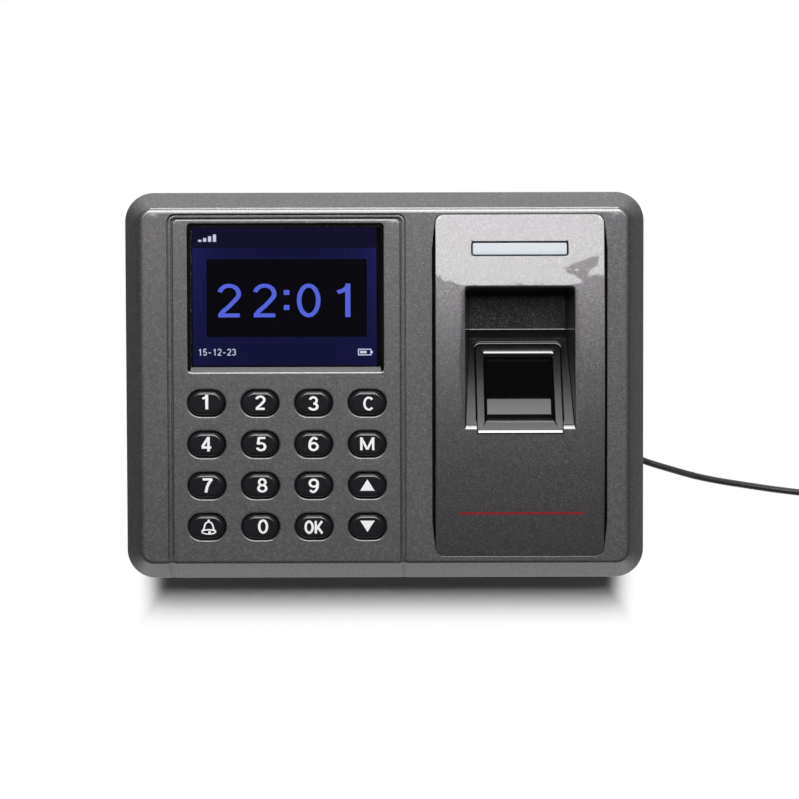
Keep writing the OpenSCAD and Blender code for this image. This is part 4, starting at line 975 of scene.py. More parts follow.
def wellRings(well):
    # a ring is a rounded rectangle from a point on the ramp to a point on the top wall; rings go down to the floor
    steps = 6
    low, top, floor = well["low"], well["top"], well["floor"]
    start, end = low - well["beyond"], top + well["beyond"]
    profile = roundedPath([(start, archZ(start)), (low, archZ(low)), (well["deep"], floor),
                           (top - well["draft"], floor), (top, archZ(top)), (end, archZ(end))],
                          (well["rimLow"], well["fold"], well["foot"], well["rimTop"]), steps)
    first, fold, foot, last = (profile[1 + i * (steps + 1):1 + (i + 1) * (steps + 1)] for i in range(4))
    middle = (fold[-1:] + foot[:1]) / 2
    share = ((np.array(well["holeY"]) - first[-1, 0]) / (fold[0, 0] - first[-1, 0]))[:, None]
    ramp = np.concatenate([first, first[-1] + share * (fold[0] - first[-1]), fold, middle])
    wall = np.concatenate([last[::-1], last[0] + share * (foot[-1] - last[0]), foot[::-1], middle])
    count = len(ramp)
    length = np.linalg.norm(wall - ramp, axis=1)[:, None]
    # each ring has n places round each corner, and two more on its far and near side for the sensor's hole
    n = steps + 1
    corner = np.where(np.arange(4 * n) < 2 * n, well["topCorner"], well["lowCorner"])
    corner = np.minimum(corner, length * 0.49)
    angle = np.concatenate([np.linspace(0, math.pi / 2, n) + i * math.pi / 2 for i in range(4)])
    signX, signL = np.repeat([1, -1, -1, 1], n), np.repeat([1, 1, -1, -1], n)
    along = signL * (length / 2 - corner) + corner * np.sin(angle)
    sides = [np.repeat(length * side, 2, 1) for side in (0.5, -0.5)]
    along = np.concatenate([along[:, :n], sides[0], along[:, n:3 * n], sides[1], along[:, 3 * n:]], 1)
    share = along / np.maximum(length, 1e-9) + 0.5
    spot = ramp[:, None] + share[..., None] * (wall - ramp)[:, None]
    swell = archZ(spot[..., 0]) - archZ(ramp[:, None, 0]) * (1 - share) - archZ(wall[:, None, 0]) * share
    fade = np.clip(1 - (np.arange(count) - steps) / (count - steps - 1), 0, 1)[:, None]
    z = spot[..., 1] + swell * fade
    half = well["halfX"] - well["draft"] * (archZ(0) - z) / (archZ(0) - floor)
    half[:n] += edgeRound(well["sideRound"], steps)[0][:, None]
    extra = [n, n, 3 * n, 3 * n]
    corner, turnX = np.insert(corner, extra, 0.0, 1), np.insert(np.cos(angle), extra, 0.0)
    x = np.insert(signX, extra, 1) * (half - corner) + corner * turnX
    holeX = well["holeX"]
    x[:, n:n + 2], x[:, 3 * n + 2:3 * n + 4] = (holeX, -holeX), (-holeX, holeX)
    points = np.stack([x + coverSizes["middleX"], spot[..., 0], z], 2)
    quads = gridFaces(points)
    keep = np.ones(quads.shape[:2], bool)
    keep[n:n + 4, 2 * n + 2:4 * n + 3] = False  # the sensor frame and its plate lie here
    return points, quads[keep].reshape(-1, 4)


def makeScannerCover():
    # the arc filled in between the skirt's rounded edge, the rings of the well and the wall of the slot
    cover, lens = coverSizes, lensSizes
    gap, drop = edgeRound(cover["edgeRound"], 5)
    gap, drop = np.append(gap, 0.0)[::-1], np.append(drop, cover["skirt"])[::-1]
    skirt = rings(coverLoop(), gap, lambda y: archZ(y) - drop[:, None])
    slot = cornerLoop(lens["halfX"] + lens["gap"], lens["halfY"] + lens["gap"], lens["corner"] + lens["gap"], 4,
                      (cover["middleX"], lens["middleY"]))
    slotGap, slotDrop = edgeRound(lens["slotRound"], 3)
    slotDrop = np.append(slotDrop, lens["slotDepth"])
    slotWall = rings(slot, np.append(-slotGap, 0), lambda y: archZ(y) - slotDrop[:, None])
    wellPoints, wellFaces = wellRings(wellSizes)
    top = fillArea([skirt[-1, :, :2], wellPoints[0, :, :2], slotWall[0, :, :2]], lambda x, y: archZ(y),
                   cover["pitch"])
    parts = [grid(skirt), grid(slotWall), (wellPoints, wellFaces), top]
    return makePiece("scanner_cover_skin", parts, finishes["coverPaint"], ("scanner_cover",),
                     wall=cover["wall"])


makeScannerCover()
print("scanner cover made")

# Sensor frame, on the ramp of the well
rampSizes = {"place": (46.415, -0.846, 31.92), "angle": 26.0}
bezelSizes = {
    "halfX": 14.885, "y": (-17.0, 16.6), "corner": 1.9, "lowCorner": 0.5, "rise": 0.41, "foot": -4.0,
    "edgeRound": 0.4, "topRound": 0.7, "lowRound": 1.5, "lowLean": 8.5, "lowStrip": 0.7,
    "openX": 11.9, "openY": (-13.1, 11.75), "openCorner": 0.25, "openRound": 0.4, "openTop": 2.0, "openLow": 0.2,
    "throatX": 11.0, "throatY": (-9.4, 10.9), "throatZ": -2.3, "throatLow": -1.3, "throatLip": (0.6, 0.1),
    "bulge": 0.16,
}
plateSizes = {"y": (-14.17, 22.28), "gap": -0.05, "corner": 0.4, "edgeRound": 0.35, "thick": 1.2, "step": 0.3,
              "holeGap": 0.35, "holeRound": (0.25, 0.3), "ledge": 1.0, "sideGap": 0.12, "nearGap": 0.05,
              "sideShare": 0.25, "cornerShare": 0.5}


def onRamp(points):
    # from the ramp's own directions to the case's
    turn = math.radians(rampSizes["angle"])
    x, y, z = points[..., 0], points[..., 1], points[..., 2]
    spot = np.stack([x, y * math.cos(turn) + z * math.sin(turn), z * math.cos(turn) - y * math.sin(turn)], -1)
    return spot + np.array(rampSizes["place"])


def rampLoop(halfX, y, corner, lowCorner=None):
    # a rounded outline on the ramp; its two near corners may have a radius of their own
    centres, outward, radius = cornerLoop(halfX, (y[1] - y[0]) / 2, corner, 6, (0, (y[0] + y[1]) / 2))
    if lowCorner is not None:
        radius = np.where(np.arange(len(centres)) < len(centres) // 2, corner, lowCorner)
        centres = centres + np.sign(outward + 1e-6 * (centres - centres.mean(0))) * (corner - radius)[:, None]
    return centres, outward, radius


def rampPlate():
    # a plate round the frame, as wide as the well's walls stand apart at each place on the ramp
    # its hole has a step, wide at the far end of the frame and narrow at its sides
    plate, well, bezel = plateSizes, wellSizes, bezelSizes
    (lowGap, lowDrop), (gap, drop) = (edgeRound(radius, 3) for radius in plate["holeRound"])
    away = np.concatenate([[plate["holeGap"]], plate["holeGap"] + lowGap[::-1], plate["ledge"] + gap[::-1]])
    heights = np.concatenate([[-plate["thick"]], -plate["step"] - lowDrop[::-1], -drop[::-1]])
    hole = np.concatenate([
        rings(rampLoop(bezel["halfX"] + plate["sideGap"] + out * plate["sideShare"],
                       (plate["y"][0] + plate["nearGap"], bezel["y"][1] + out),
                       bezel["corner"] + out * plate["cornerShare"]), [0.0], [height])
        for out, height in zip(away, heights)])
    gap, drop = edgeRound(plate["edgeRound"], 3)
    edge = rings(rampLoop(well["halfX"], plate["y"], plate["corner"]), np.append(gap, 0.0),
                 -np.append(drop, plate["thick"]))
    z = rampSizes["place"][2] - edge[..., 1] * math.sin(math.radians(rampSizes["angle"]))
    half = well["halfX"] - well["draft"] * (archZ(0) - z) / (archZ(0) - well["floor"]) - plate["gap"]
    edge[..., 0] *= half / well["halfX"]
    return np.concatenate([hole, edge, hole[:1]])


def makeSensorBezel():
    # the frame's edges: a quarter round at the sides, larger at the far end, cut short at the near end
    bezel = bezelSizes
    rise = bezel["rise"]
    outline = rampLoop(bezel["halfX"], bezel["y"], bezel["corner"], bezel["lowCorner"])
    far, near = np.clip(outline[1][:, 1], 0, 1) ** 2, np.clip(-outline[1][:, 1], 0, 1) ** 2
    gap, drop = (part[:, None] for part in edgeRound(1.0, 6))
    lowGap, lowDrop = (part[:, None] for part in
                       slopedEdge(bezel["lowRound"], bezel["lowStrip"], bezel["lowLean"], 5))
    curve = bezel["edgeRound"] + (bezel["topRound"] - bezel["edgeRound"]) * far
    inset = gap * curve * (1 - near) + lowGap * near
    fall = drop * curve * (1 - near) + lowDrop * near
    foot = np.full((1, len(near)), bezel["foot"])
    outer = rings(outline, np.concatenate([0 * foot, inset[::-1]]), np.concatenate([foot, rise - fall[::-1]]))
    opening = rampLoop(bezel["openX"], bezel["openY"], bezel["openCorner"])
    curves = (bezel["openLow"], bezel["openRound"], bezel["openRound"], bezel["openTop"])
    curve = np.interp(opening[1][:, 1], (-1, -0.7, 0.7, 1), curves)
    inner = rings(opening, -gap * curve, rise - drop * curve)
    throat = rampLoop(bezel["throatX"], bezel["throatY"], bezel["openCorner"])
    # the window's near side is a wider slope, a little bowed, that ends higher than the others
    near = np.clip(-throat[1][:, 1], 0, 1) ** 2
    depth = bezel["throatZ"] + (bezel["throatLow"] - bezel["throatZ"]) * near
    wide, drop = bezel["throatLip"]
    throat = rings(throat, np.array([[0.0], [-wide]]), np.stack([depth, depth - drop]))
    share = np.linspace(0, 1, 6)[1:-1, None, None]
    slope = inner[-1:] * (1 - share) + throat[:1] * share
    slope[..., 2] += bezel["bulge"] * 4 * (share * (1 - share))[..., 0] * near
    points = np.concatenate([outer, inner, slope, throat, rings(opening, [0.0], [bezel["foot"]]), outer[:1]])
    parts = [grid(onRamp(points)), grid(onRamp(rampPlate()))]
    return makePiece("sensor_bezel_frame", parts, finishes["bezel"], ("sensor_bezel",), closed=True)


makeSensorBezel()
print("sensor frame made")


# Lit strip over the well
stripLook = {
    "body": (0.3, 0.32, 0.34, 1), "light": 0.25, "lamp": 2.5, "dimmer": (0.5, 0.25, 0.12),  # across, along, by lamp
    "glow": ((0.0, (0.93, 0.97, 1.0, 1)), (0.45, (0.72, 0.83, 0.92, 1)), (1.0, (0.45, 0.58, 0.7, 1))),
}


def litStrip(look):
    # a moulded diffuser lit from behind: brightest along its middle
    strip = Finish("lit_strip")
    x, y = strip.axes()[:2]
    along = abs(x - coverSizes["middleX"] * mm) / (lensSizes["halfX"] * mm)
    across = abs(y - lensSizes["middleY"] * mm) / (lensSizes["halfY"] * mm)
    lamps = strip.noise(look["lamp"], 1.0)
    byAcross, byAlong, byLamp = look["dimmer"]
    dim = across * across * byAcross + along * along * byAlong + (lamps - 0.5) * byLamp
    return strip.set({"Base Color": look["body"], "Roughness": 0.25 + lamps * 0.1,
                      "Emission Color": strip.ramp(dim, look["glow"]), "Emission Strength": look["light"]})


finishes["litStrip"] = litStrip(stripLook)


def makeLens():
    # a rounded rectangle with a rounded edge, which follows the cover's arc a little below it
    lens = lensSizes
    gap, drop = edgeRound(lens["round"], 3)
    insets = np.concatenate([[0.0], gap[::-1], [lens["halfY"]]])
    drops = np.concatenate([[lens["depth"]], drop[::-1], [0.0]]) + lens["sunk"]
    loop = cornerLoop(lens["halfX"], lens["halfY"], lens["corner"], 4, (coverSizes["middleX"], lens["middleY"]))
    flat = flatRings(loop, insets)
    flat[-1, :, 1] = lens["middleY"]  # the last ring closes on a line
    half = lens["halfX"] - lens["halfY"]
    flat[-1, :, 0] = np.clip(flat[0, :, 0] - coverSizes["middleX"], -half, half) + coverSizes["middleX"]
    points = raised(flat, lambda y: archZ(y) - drops[:, None])
    return makePiece("indicator_lens_strip", [grid(points)], finishes["litStrip"],
                     ("indicator_lens",), sharp=50)


makeLens()

# Display: lit picture under the clear window
screenSizes = {
    "z": 31.76, "lit": (-66.2, -2.76, 7.15, 54.65), "bar": 47.56, "panel": (-61.37, -6.1, 17.0, 43.75),
    "digitBase": 23.75, "digitHeight": 11.57,
    "digits": (("2", -57.6, -49.52), ("2", -45.34, -37.26), ("0", -30.24, -22.08), ("1", -16.56, -11.75)),
    "colon": (-33.8, (27.1, 32.3), 0.98, 0.85),
    "date": ("15-12-23", -64.18, -51.37, 10.55, 2.38),
    "digitWeight": 0.115, "dateWeight": 0.13, "markLift": 0.05, "markThick": 0.04,
    "bars": (-64.2, 49.8, 1.1, 1.7, 0.7, 0.6),  # left, low, width, pitch, first height, rise
    "cell": (-9.2, -4.6, 10.5, 12.8, 0.35),  # left, right, low, high, line
    "cellTip": (-4.6, -4.1, 11.2, 12.1), "cellCharge": (-8.5, -6.2, 11.2, 12.1),
    "sideGlow": (0.55, 30.0, 60.0),  # share at a height, and the height over which it grows by one
}
screenColours = {
    "frame": (0.0055, 0.0055, 0.036, 1), "edge": (0.014, 0.012, 0.1, 1), "bar": (0.006, 0.005, 0.024, 1),
    "panel": (0.0012, 0.0012, 0.003, 1), "digits": (0.1, 0.14, 0.78, 1), "marks": (0.62, 0.66, 0.88, 1),
}


def screenPicture():
    # blue frame round a black panel, under a dark bar; the back light is brighter along both sides
    screen, colours = screenSizes, screenColours
    picture = Finish("screen_picture")
    x, y = (axis / mm for axis in picture.axes()[:2])
    left, right, low, high = screen["panel"]
    panel = (x > left) * (x < right) * (y > low) * (y < high)
    bar = y > screen["bar"]
    left, right = screen["lit"][:2]
    side = abs(x - (left + right) / 2) / ((right - left) / 2)
    share, middleY, grow = screen["sideGlow"]
    glow = side * side * side * (share + (y - middleY) / grow)
    tone = picture.blend(glow + (picture.noise(14.0) - 0.5) * 0.2, colours["frame"], colours["edge"])
    tone = picture.blend(bar, tone, colours["bar"])
    tone = picture.blend(panel, tone, colours["panel"])
    return picture.set({"Base Color": (0.002, 0.002, 0.003, 1), "Roughness": 0.35 + picture.noise(3.0) * 0.1,
                        "Specular IOR Level": 0.0, "Emission Color": tone, "Emission Strength": 1.0})


def litMarks(name, colour):
    # pixels of the display, a little uneven
    marks = Finish(name)
    grain = marks.noise(0.35, 1.0)
    tone = marks.blend(grain, tuple(0.86 * part for part in colour[:3]) + (1,), colour)
    return marks.set({"Base Color": grey(0.004), "Roughness": 0.4 + grain * 0.1, "Specular IOR Level": 0.0,
                      "Emission Color": tone, "Emission Strength": 1.0})


finishes["screen"] = screenPicture()
finishes["clock"] = litMarks("clock_pixels", screenColours["digits"])
finishes["smallMarks"] = litMarks("small_pixels", screenColours["marks"])


def fitMark(mark, box):
    # stretches a flat mark into the box left, right, low, high
    points, faces = mark
    low, high = points.min(0), points.max(0)
    left, right, bottom, top = box
    return (points - low) / (high - low) * np.array([right - left, top - bottom]) + np.array([left, bottom]), faces


def boxMark(box):
    # a flat rectangle
    left, right, low, high = box
    return np.array([[left, low], [right, low], [right, high], [left, high]]), [[0, 1, 2, 3]]


def bow(x, y, halfX, halfY, start, end):
    # part of an ellipse from one angle to another, in degrees
    angle = np.radians(np.linspace(start, end, max(int(abs(end - start) / 9), 6)))
    return np.stack([x + halfX * np.cos(angle), y + halfY * np.sin(angle)], 1)


# strokes of plain characters, as middle lines in a box 0.6 wide and 1 high
signStrokes = {
    "0": [bow(0.3, 0.5, 0.24, 0.44, 0, 360)],
    "1": [[(0.37, 0.0), (0.37, 1.0)], [(0.37, 0.9), (0.31, 0.83), (0.22, 0.77), (0.14, 0.74)]],
    "2": [np.concatenate([bow(0.3, 0.7, 0.235, 0.24, 168, -22),
                          [(0.44, 0.5), (0.3, 0.33), (0.15, 0.18), (0.07, 0.06)]]), [(0.03, 0.06), (0.56, 0.06)]],
    "3": [bow(0.29, 0.715, 0.2, 0.225, 165, -90), bow(0.29, 0.28, 0.235, 0.22, 90, -165)],
    "4": [[(0.43, 0.0), (0.43, 1.0)], [(0.42, 0.96), (0.06, 0.3)], [(0.02, 0.27), (0.6, 0.27)]],
    "5": [[(0.14, 0.94), (0.54, 0.94)], [(0.17, 0.98), (0.1, 0.47)], bow(0.29, 0.31, 0.235, 0.25, 128, -165)],
    "6": [bow(0.3, 0.31, 0.235, 0.25, 0, 360),
          np.concatenate([bow(0.33, 0.7, 0.19, 0.24, 25, 120),
                          [(0.13, 0.76), (0.08, 0.6), (0.065, 0.42), (0.065, 0.31)]])],
    "7": [[(0.04, 0.94), (0.57, 0.94)], [(0.53, 0.93), (0.38, 0.68), (0.28, 0.4), (0.22, 0.0)]],
    "8": [bow(0.3, 0.725, 0.19, 0.215, 0, 360), bow(0.3, 0.285, 0.235, 0.225, 0, 360)],
    "9": [bow(0.3, 0.69, 0.235, 0.25, 0, 360),
          np.concatenate([bow(0.27, 0.3, 0.19, 0.24, 205, 300),
                          [(0.47, 0.24), (0.52, 0.4), (0.535, 0.58), (0.535, 0.69)]])],
    "-": [[(0.1, 0.4), (0.46, 0.4)]],
    "C": [bow(0.36, 0.5, 0.3, 0.44, 42, 318)],
    "M": [[(0.06, 0.0), (0.06, 1.0)], [(0.64, 0.0), (0.64, 1.0)], [(0.06, 0.98), (0.35, 0.04)],
          [(0.64, 0.98), (0.35, 0.04)]],
    "O": [bow(0.34, 0.5, 0.29, 0.44, 0, 360)],
    "K": [[(0.07, 0.0), (0.07, 1.0)], [(0.1, 0.32), (0.6, 0.98)], [(0.24, 0.52), (0.62, 0.0)]],
}
signWidths = {"-": 0.56, "C": 0.72, "M": 0.7, "O": 0.68, "K": 0.64}


def bandLoops(stroke, weight):
    # outline of a band along a stroke, or both outlines of a ring
    ring = np.allclose(stroke[0], stroke[-1])
    stroke = stroke[:-1] if ring else stroke
    ahead = np.roll(stroke, -1, 0) - np.roll(stroke, 1, 0) if ring else np.gradient(stroke, axis=0)
    ahead /= np.linalg.norm(ahead, axis=1)[:, None]
    side = np.stack([-ahead[:, 1], ahead[:, 0]], 1) * weight / 2
    return [stroke + side, stroke - side] if ring else [np.concatenate([stroke + side, (stroke - side)[::-1]])]


def joinBands(bands):
    # one flat mesh of the area that any of the bands covers
    return triangles([loop for band in bands for loop in band], [], bands)


def wordMesh(words, weight):
    # the strokes of each character as bands of the given weight, side by side
    bands, start = [], 0.0
    for sign in words:
        bands += [bandLoops(np.asarray(stroke, float) + [start, 0], weight) for stroke in signStrokes[sign]]
        start += signWidths.get(sign, 0.6) + 0.14
    return joinBands(bands)


def makeMarks(name, marks, height, finish, body="terminal", thick=0.06):
    # flat marks laid on a surface whose height is a number or a function of x and y
    flat, faces = joined(marks)
    piece = addMesh(name, heightsAt(height, flat) * mm, faces, finish)
    wall = piece.modifiers.new("thickness", "SOLIDIFY")
    wall.thickness, wall.offset = thick * mm, -1.0
    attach(piece, body)
    return piece


def makeScreen():
    # a flat sheet for the picture, with the digits and the small marks just over it
    screen = screenSizes
    left, right, low, high = screen["lit"]
    x, y = np.meshgrid(np.linspace(left, right, 24), np.linspace(low, high, 18))
    sheet = np.stack([x, y, np.full(x.shape, screen["z"])], 2)
    makePiece("display_picture", [grid(sheet, False)], finishes["screen"])
    height, thick = screen["z"] + screen["markLift"], screen["markThick"]
    base, top = screen["digitBase"], screen["digitBase"] + screen["digitHeight"]
    marks = [fitMark(wordMesh(sign, screen["digitWeight"]), (start, end, base, top))
             for sign, start, end in screen["digits"]]
    colonX, colonY, halfX, halfY = screen["colon"]
    marks += [boxMark((colonX - halfX, colonX + halfX, y - halfY, y + halfY)) for y in colonY]
    makeMarks("clock_digits", marks, height, finishes["clock"], thick=thick)
    words, start, end, base, tall = screen["date"]
    marks = [fitMark(wordMesh(words, screen["dateWeight"]), (start, end, base, base + tall))]
    left, low, wide, pitch, tall, rise = screen["bars"]
    marks += [boxMark((left + i * pitch, left + wide + i * pitch, low, low + tall + rise * i)) for i in range(4)]
    left, right, low, high, line = screen["cell"]
    marks += [boxMark(box) for box in (
        (left, right, low, low + line), (left, right, high - line, high),
        (left, left + line, low + line, high - line), (right - line, right, low + line, high - line),
        screen["cellTip"], screen["cellCharge"])]
    makeMarks("small_screen_marks", marks, height, finishes["smallMarks"], thick=thick)


makeScreen()
print("display made")

# Marks printed on the keys
legendSizes = {"height": 4.95, "lift": 0.05, "up": 0.15, "triangle": (5.0, 3.9)}
plainLegend = {"wide": 0.715, "tall": 1.0, "weight": 0.154, "shift": (0.0, 0.0)}  # as shares of the height; mm
# the print doesn't sit quite in the middle of each key
keyLegends = {
    "key_1": {"sign": "1", "wide": 0.44, "shift": (-0.3, 0.25)},
    "key_2": {"sign": "2", "shift": (0.25, 0.0)},
    "key_3": {"sign": "3", "shift": (0.0, -0.3)},
    "key_clear": {"sign": "C", "wide": 0.672, "tall": 0.97, "shift": (0.35, -0.4)},
    "key_4": {"sign": "4"},
    "key_5": {"sign": "5", "shift": (0.45, 0.0)},
    "key_6": {"sign": "6"},
    "key_menu": {"sign": "M", "wide": 0.988, "tall": 0.88, "weight": 0.118},
    "key_7": {"sign": "7", "shift": (0.45, 0.0)},
    "key_8": {"sign": "8", "shift": (0.75, 0.0)},
    "key_9": {"sign": "9", "shift": (0.0, -0.2)},
    "key_bell": {"shift": (0.7, 0.0)},
    "key_0": {"sign": "0", "shift": (0.95, 0.0)},
    "key_ok": {"sign": "OK", "wide": 1.3, "tall": 0.96, "weight": 0.19, "shift": (0.0, -0.3)},
}
bellSizes = {  # in mm about the key's middle
    "side": ((-2.2, -1.2, 0), (-1.55, -0.4, 0), (-1.35, 0.6, 0), (-0.9, 1.5, 0), (0, 1.9, 0)), "weight": 0.5,
    "rounds": ((0, -1.35, 2.2, 0.68, 0.42), (0.25, -1.5, 0.25, 0.22, 0.42), (0, 2.25, 0.2, 0.2, 0.38)),
    "scale": 1.07, "low": 0.35,
}


def bellMark(bell):
    # outline of a bell over the ring of its mouth, its clapper and its knob
    side = smoothRun(bell["side"], 6)[:, :2]
    bands = [bandLoops(np.concatenate([side, side[-2::-1] * [-1, 1]]), bell["weight"])]
    bands += [bandLoops(bow(x, y, halfX, halfY, 0, 360), weight) for x, y, halfX, halfY, weight in bell["rounds"]]
    points, faces = joinBands(bands)
    return points * bell["scale"] - [0, bell["low"]], faces


def keyMark(name, legend):
    # a bell, a triangle, or strokes fitted into the mark's own box
    if name == "key_bell":
        return bellMark(bellSizes)
    if name in ("key_up", "key_down"):
        halfX, halfY = np.array(legendSizes["triangle"]) / 2 * (1 if name == "key_up" else -1)
        return np.array([[-halfX, -halfY], [halfX, -halfY], [0, halfY]]), [[0, 1, 2]]
    halfX, halfY = (legend[side] * legendSizes["height"] / 2 for side in ("wide", "tall"))
    return fitMark(wordMesh(legend["sign"], legend["weight"]), (-halfX, halfX, -halfY, halfY))


def makeKeySign(name, middle):
    # the print follows the key's top
    legend = {**plainLegend, **keyLegends.get(name, {})}
    x, y = middle
    shiftX, shiftY = legend["shift"]
    points, faces = keyMark(name, legend)
    points = points + [x + shiftX, y + (legendSizes["up"] + shiftY)]
    makeMarks(name + "_sign", [(points, faces)],
              lambda spotX, spotY: keyTop(spotX - x, spotY - y) + legendSizes["lift"],
              finishes["print"], name)


for keyName, keyMiddle in keyPlaces.items():
    makeKeySign(keyName, keyMiddle)

coverPrint = {"left": 25.65, "right": 68.5, "middleY": -43.85, "thick": 0.85, "lift": 0.03, "wall": 0.05}


def makeCoverLine():
    # a strip that follows the cover's arc
    line = coverPrint
    x, y = np.meshgrid(np.linspace(line["left"], line["right"], 30),
                       line["middleY"] + np.linspace(-0.5, 0.5, 3) * line["thick"])
    points = np.stack([x, y, archZ(y) + line["lift"]], 2)
    makePiece("cover_line", [grid(points, False)], finishes["redPrint"], wall=line["wall"])


makeCoverLine()
print("marks made")

# Rear shell: a tub with the wall plate's recess, screw wells and speaker slots
rearSizes = {
    "halfX": 83.0, "halfY": 60.0, "corner": 6.0, "backRound": 0.6, "edge": 0.2, "wall": 1.8,
    "lipX": 87.4, "lipY": 64.4, "lipCorner": 7.4, "lipTop": 20.4, "lipWide": 2.0, "parting": 18.0,
    "recess": (-42.6, 42.6, -57.6, 28.6), "recessCorner": 1.5, "recessDepth": 5.0,
    "towers": (78.8, 50.5), "bore": 3.1, "boreDepth": 9.0, "slotMiddle": (59.2, -42.0), "slotPitch": 2.8,
    "slotWide": 1.2, "slotLong": 20.0, "slotStep": 3.0, "slotDepth": 2.0,
}


def makeRearShell():
    # a rounded rectangle drawn from the back up to the lip; its holes are rounded rectangles drawn in from the back
    rear = rearSizes
    gap, drop = edgeRound(rear["backRound"], 5)
    tub = rings(cornerLoop(rear["halfX"], rear["halfY"], rear["corner"], 8), np.append(gap, 0.0),
                np.append(drop, rear["parting"]))
    lip = rings(cornerLoop(rear["lipX"], rear["lipY"], rear["lipCorner"], 8), [0.0, 0.0, rear["lipWide"]],
                [rear["parting"], rear["lipTop"], rear["lipTop"]])
    parts, loops = [grid(np.concatenate([tub, lip]))], [tub[0, :, :2]]
    edge, bore, (x, y) = rear["edge"], rear["bore"], rear["towers"]
    holes = [(boxLoop(rear["recess"], rear["recessCorner"], 4), rear["recessDepth"])]
    holes += [(cornerLoop(bore, bore, bore, 6, middle), rear["boreDepth"])
              for middle in ((x, y), (-x, y), (-x, -y), (x, -y))]
    edgeGap, edgeDrop = edgeRound(edge, 3)
    for hole, depth in holes:
        wall = rings(hole, np.append(-edgeGap, 0.0), np.append(edgeDrop, depth))
        parts += [grid(wall, True, True), fillArea([wall[-1, :, :2]], depth, flip=True)]
        loops.append(wall[0, :, :2])
    x, y = rear["slotMiddle"]
    for number in range(-3, 4):
        half = (rear["slotLong"] - rear["slotStep"] * abs(number)) / 2
        slot = cornerLoop(half, rear["slotWide"] / 2, rear["slotWide"] / 2, 4, (x, y + number * rear["slotPitch"]))
        wall = rings(slot, [-edge, 0.0, 0.0], [0.0, edge, rear["slotDepth"]])
        parts.append(grid(wall, True, True))
        loops.append(wall[0, :, :2])
    parts.append(fillArea(loops, 0.0, flip=True))
    return makePiece("rear_shell_skin", parts, finishes["rear"], ("rear_shell",), wall=rear["wall"])


makeRearShell()
print("rear shell made")


# Finishes of the nodes that keep their CAD shape
def sensorGlass():
    # dark polished prism with a faint haze
    glass = Finish("sensor_glass")
    haze = glass.noise(5.0, 3.0)
    return glass.set({"Base Color": glass.blend(haze, grey(0.0002), grey(0.0006)), "Roughness": haze * 0.02,
                      "IOR": 1.6})


def clearWindow():
    # clear plastic whose gloss changes slowly
    window = Finish("clear_window")
    smear = window.noise(12.0, 2.0)
    return window.set({"Base Color": grey(0.98), "Roughness": 0.02 + smear * 0.03, "IOR": 1.3,
                       "Transmission Weight": 1.0})


finishes["sensorGlass"] = sensorGlass()
finishes["window"] = clearWindow()
slotFinishes = {
    "shell_paint": "shellPaint", "cover_paint": "coverPaint", "rear_plastic": "rear", "zinc_steel": "zinc",
    "black_steel": "steel", "clear_window": "window", "display_glass": "screenBlack", "display_frame": "bright",
    "ribbon": "ribbon", "silicone": "silicone", "circuit_board": "board", "key_plastic": "key",
    "lens_plastic": "litStrip", "lamp": "lampBody", "bezel_plastic": "bezel", "prism_glass": "sensorGlass",
    "black_plastic": "black", "red_wire": "wire", "relay_blue": "relay", "cell_steel": "bright",
    "header_plastic": "header", "magnet": "magnet", "lead_rubber": "rubber", "plug_steel": "bright",
}
nodeSlots = {row["node"]: row["material_slot"] for row in frame["record"]["subparts"]}
for nodeName, node in nodes.items():
    node.data.materials.clear()
    node.data.materials.append(finishes[slotFinishes[nodeSlots[nodeName]]].material)
print("CAD nodes dressed")

# Floor, light and surroundings, in metres
stageSizes = {
    "floorHalf": 3.0, "floorZ": -0.0002, "floorTone": (0.88, 0.86, 0.845, 1), "floorTouch": 0.0015,
    "whiteFrom": ((0.080, 0.0915), (0.0655, 0.0685), (0.0735, 0.0905)),  # both sides, far side, near side
    "boxY": (0.16, 1.155), "boxX": (-0.4, 0.4), "boxHigh": 1.0, "boxLight": 13.3,
    "boxTones": ((0.0, 0.54), (0.06, 0.48), (0.16, 0.3), (0.42, 1.15), (0.75, 0.7), (0.95, 0.36), (1.0, 0.25)),
    "boxEdge": 0.178, "slant": (0.06, 0.05, 0.5),  # where the slanted part starts, how wide and how steep it is
    "notch": (0.169, 0.016), "fray": 0.036, "tearFray": 0.7,
    "tears": (((0.1527, 0.2085), (0.1754, 0.2033), (0.188, 0.222), (0.1863, 0.235)),
              ((0.1527, 0.2085), (0.1609, 0.195), (0.17, 0.183), (0.1765, 0.203))),
    "backY": 2.2, "backX": 0.5, "backZ": (0.35, 1.25), "backLight": 9.0,
    "cards": {"left": (-0.112, 0.035, 0.08), "right": (0.112, 0.035, 0.2)},  # place, height and tone
    "cardLong": 0.3, "cardLow": 0.001, "cardTones": ((0.0, 1.3), (0.62, 1.3), (0.86, 0.2)), "cardFade": (0.058, 0.12),
    "ambient": 0.05, "belowLight": 1.1, "belowFrom": -0.05,
}


def stageMesh(name, points, finish):
    return addMesh(name, points, gridFaces(points, False).reshape(-1, 4).tolist(), finish)


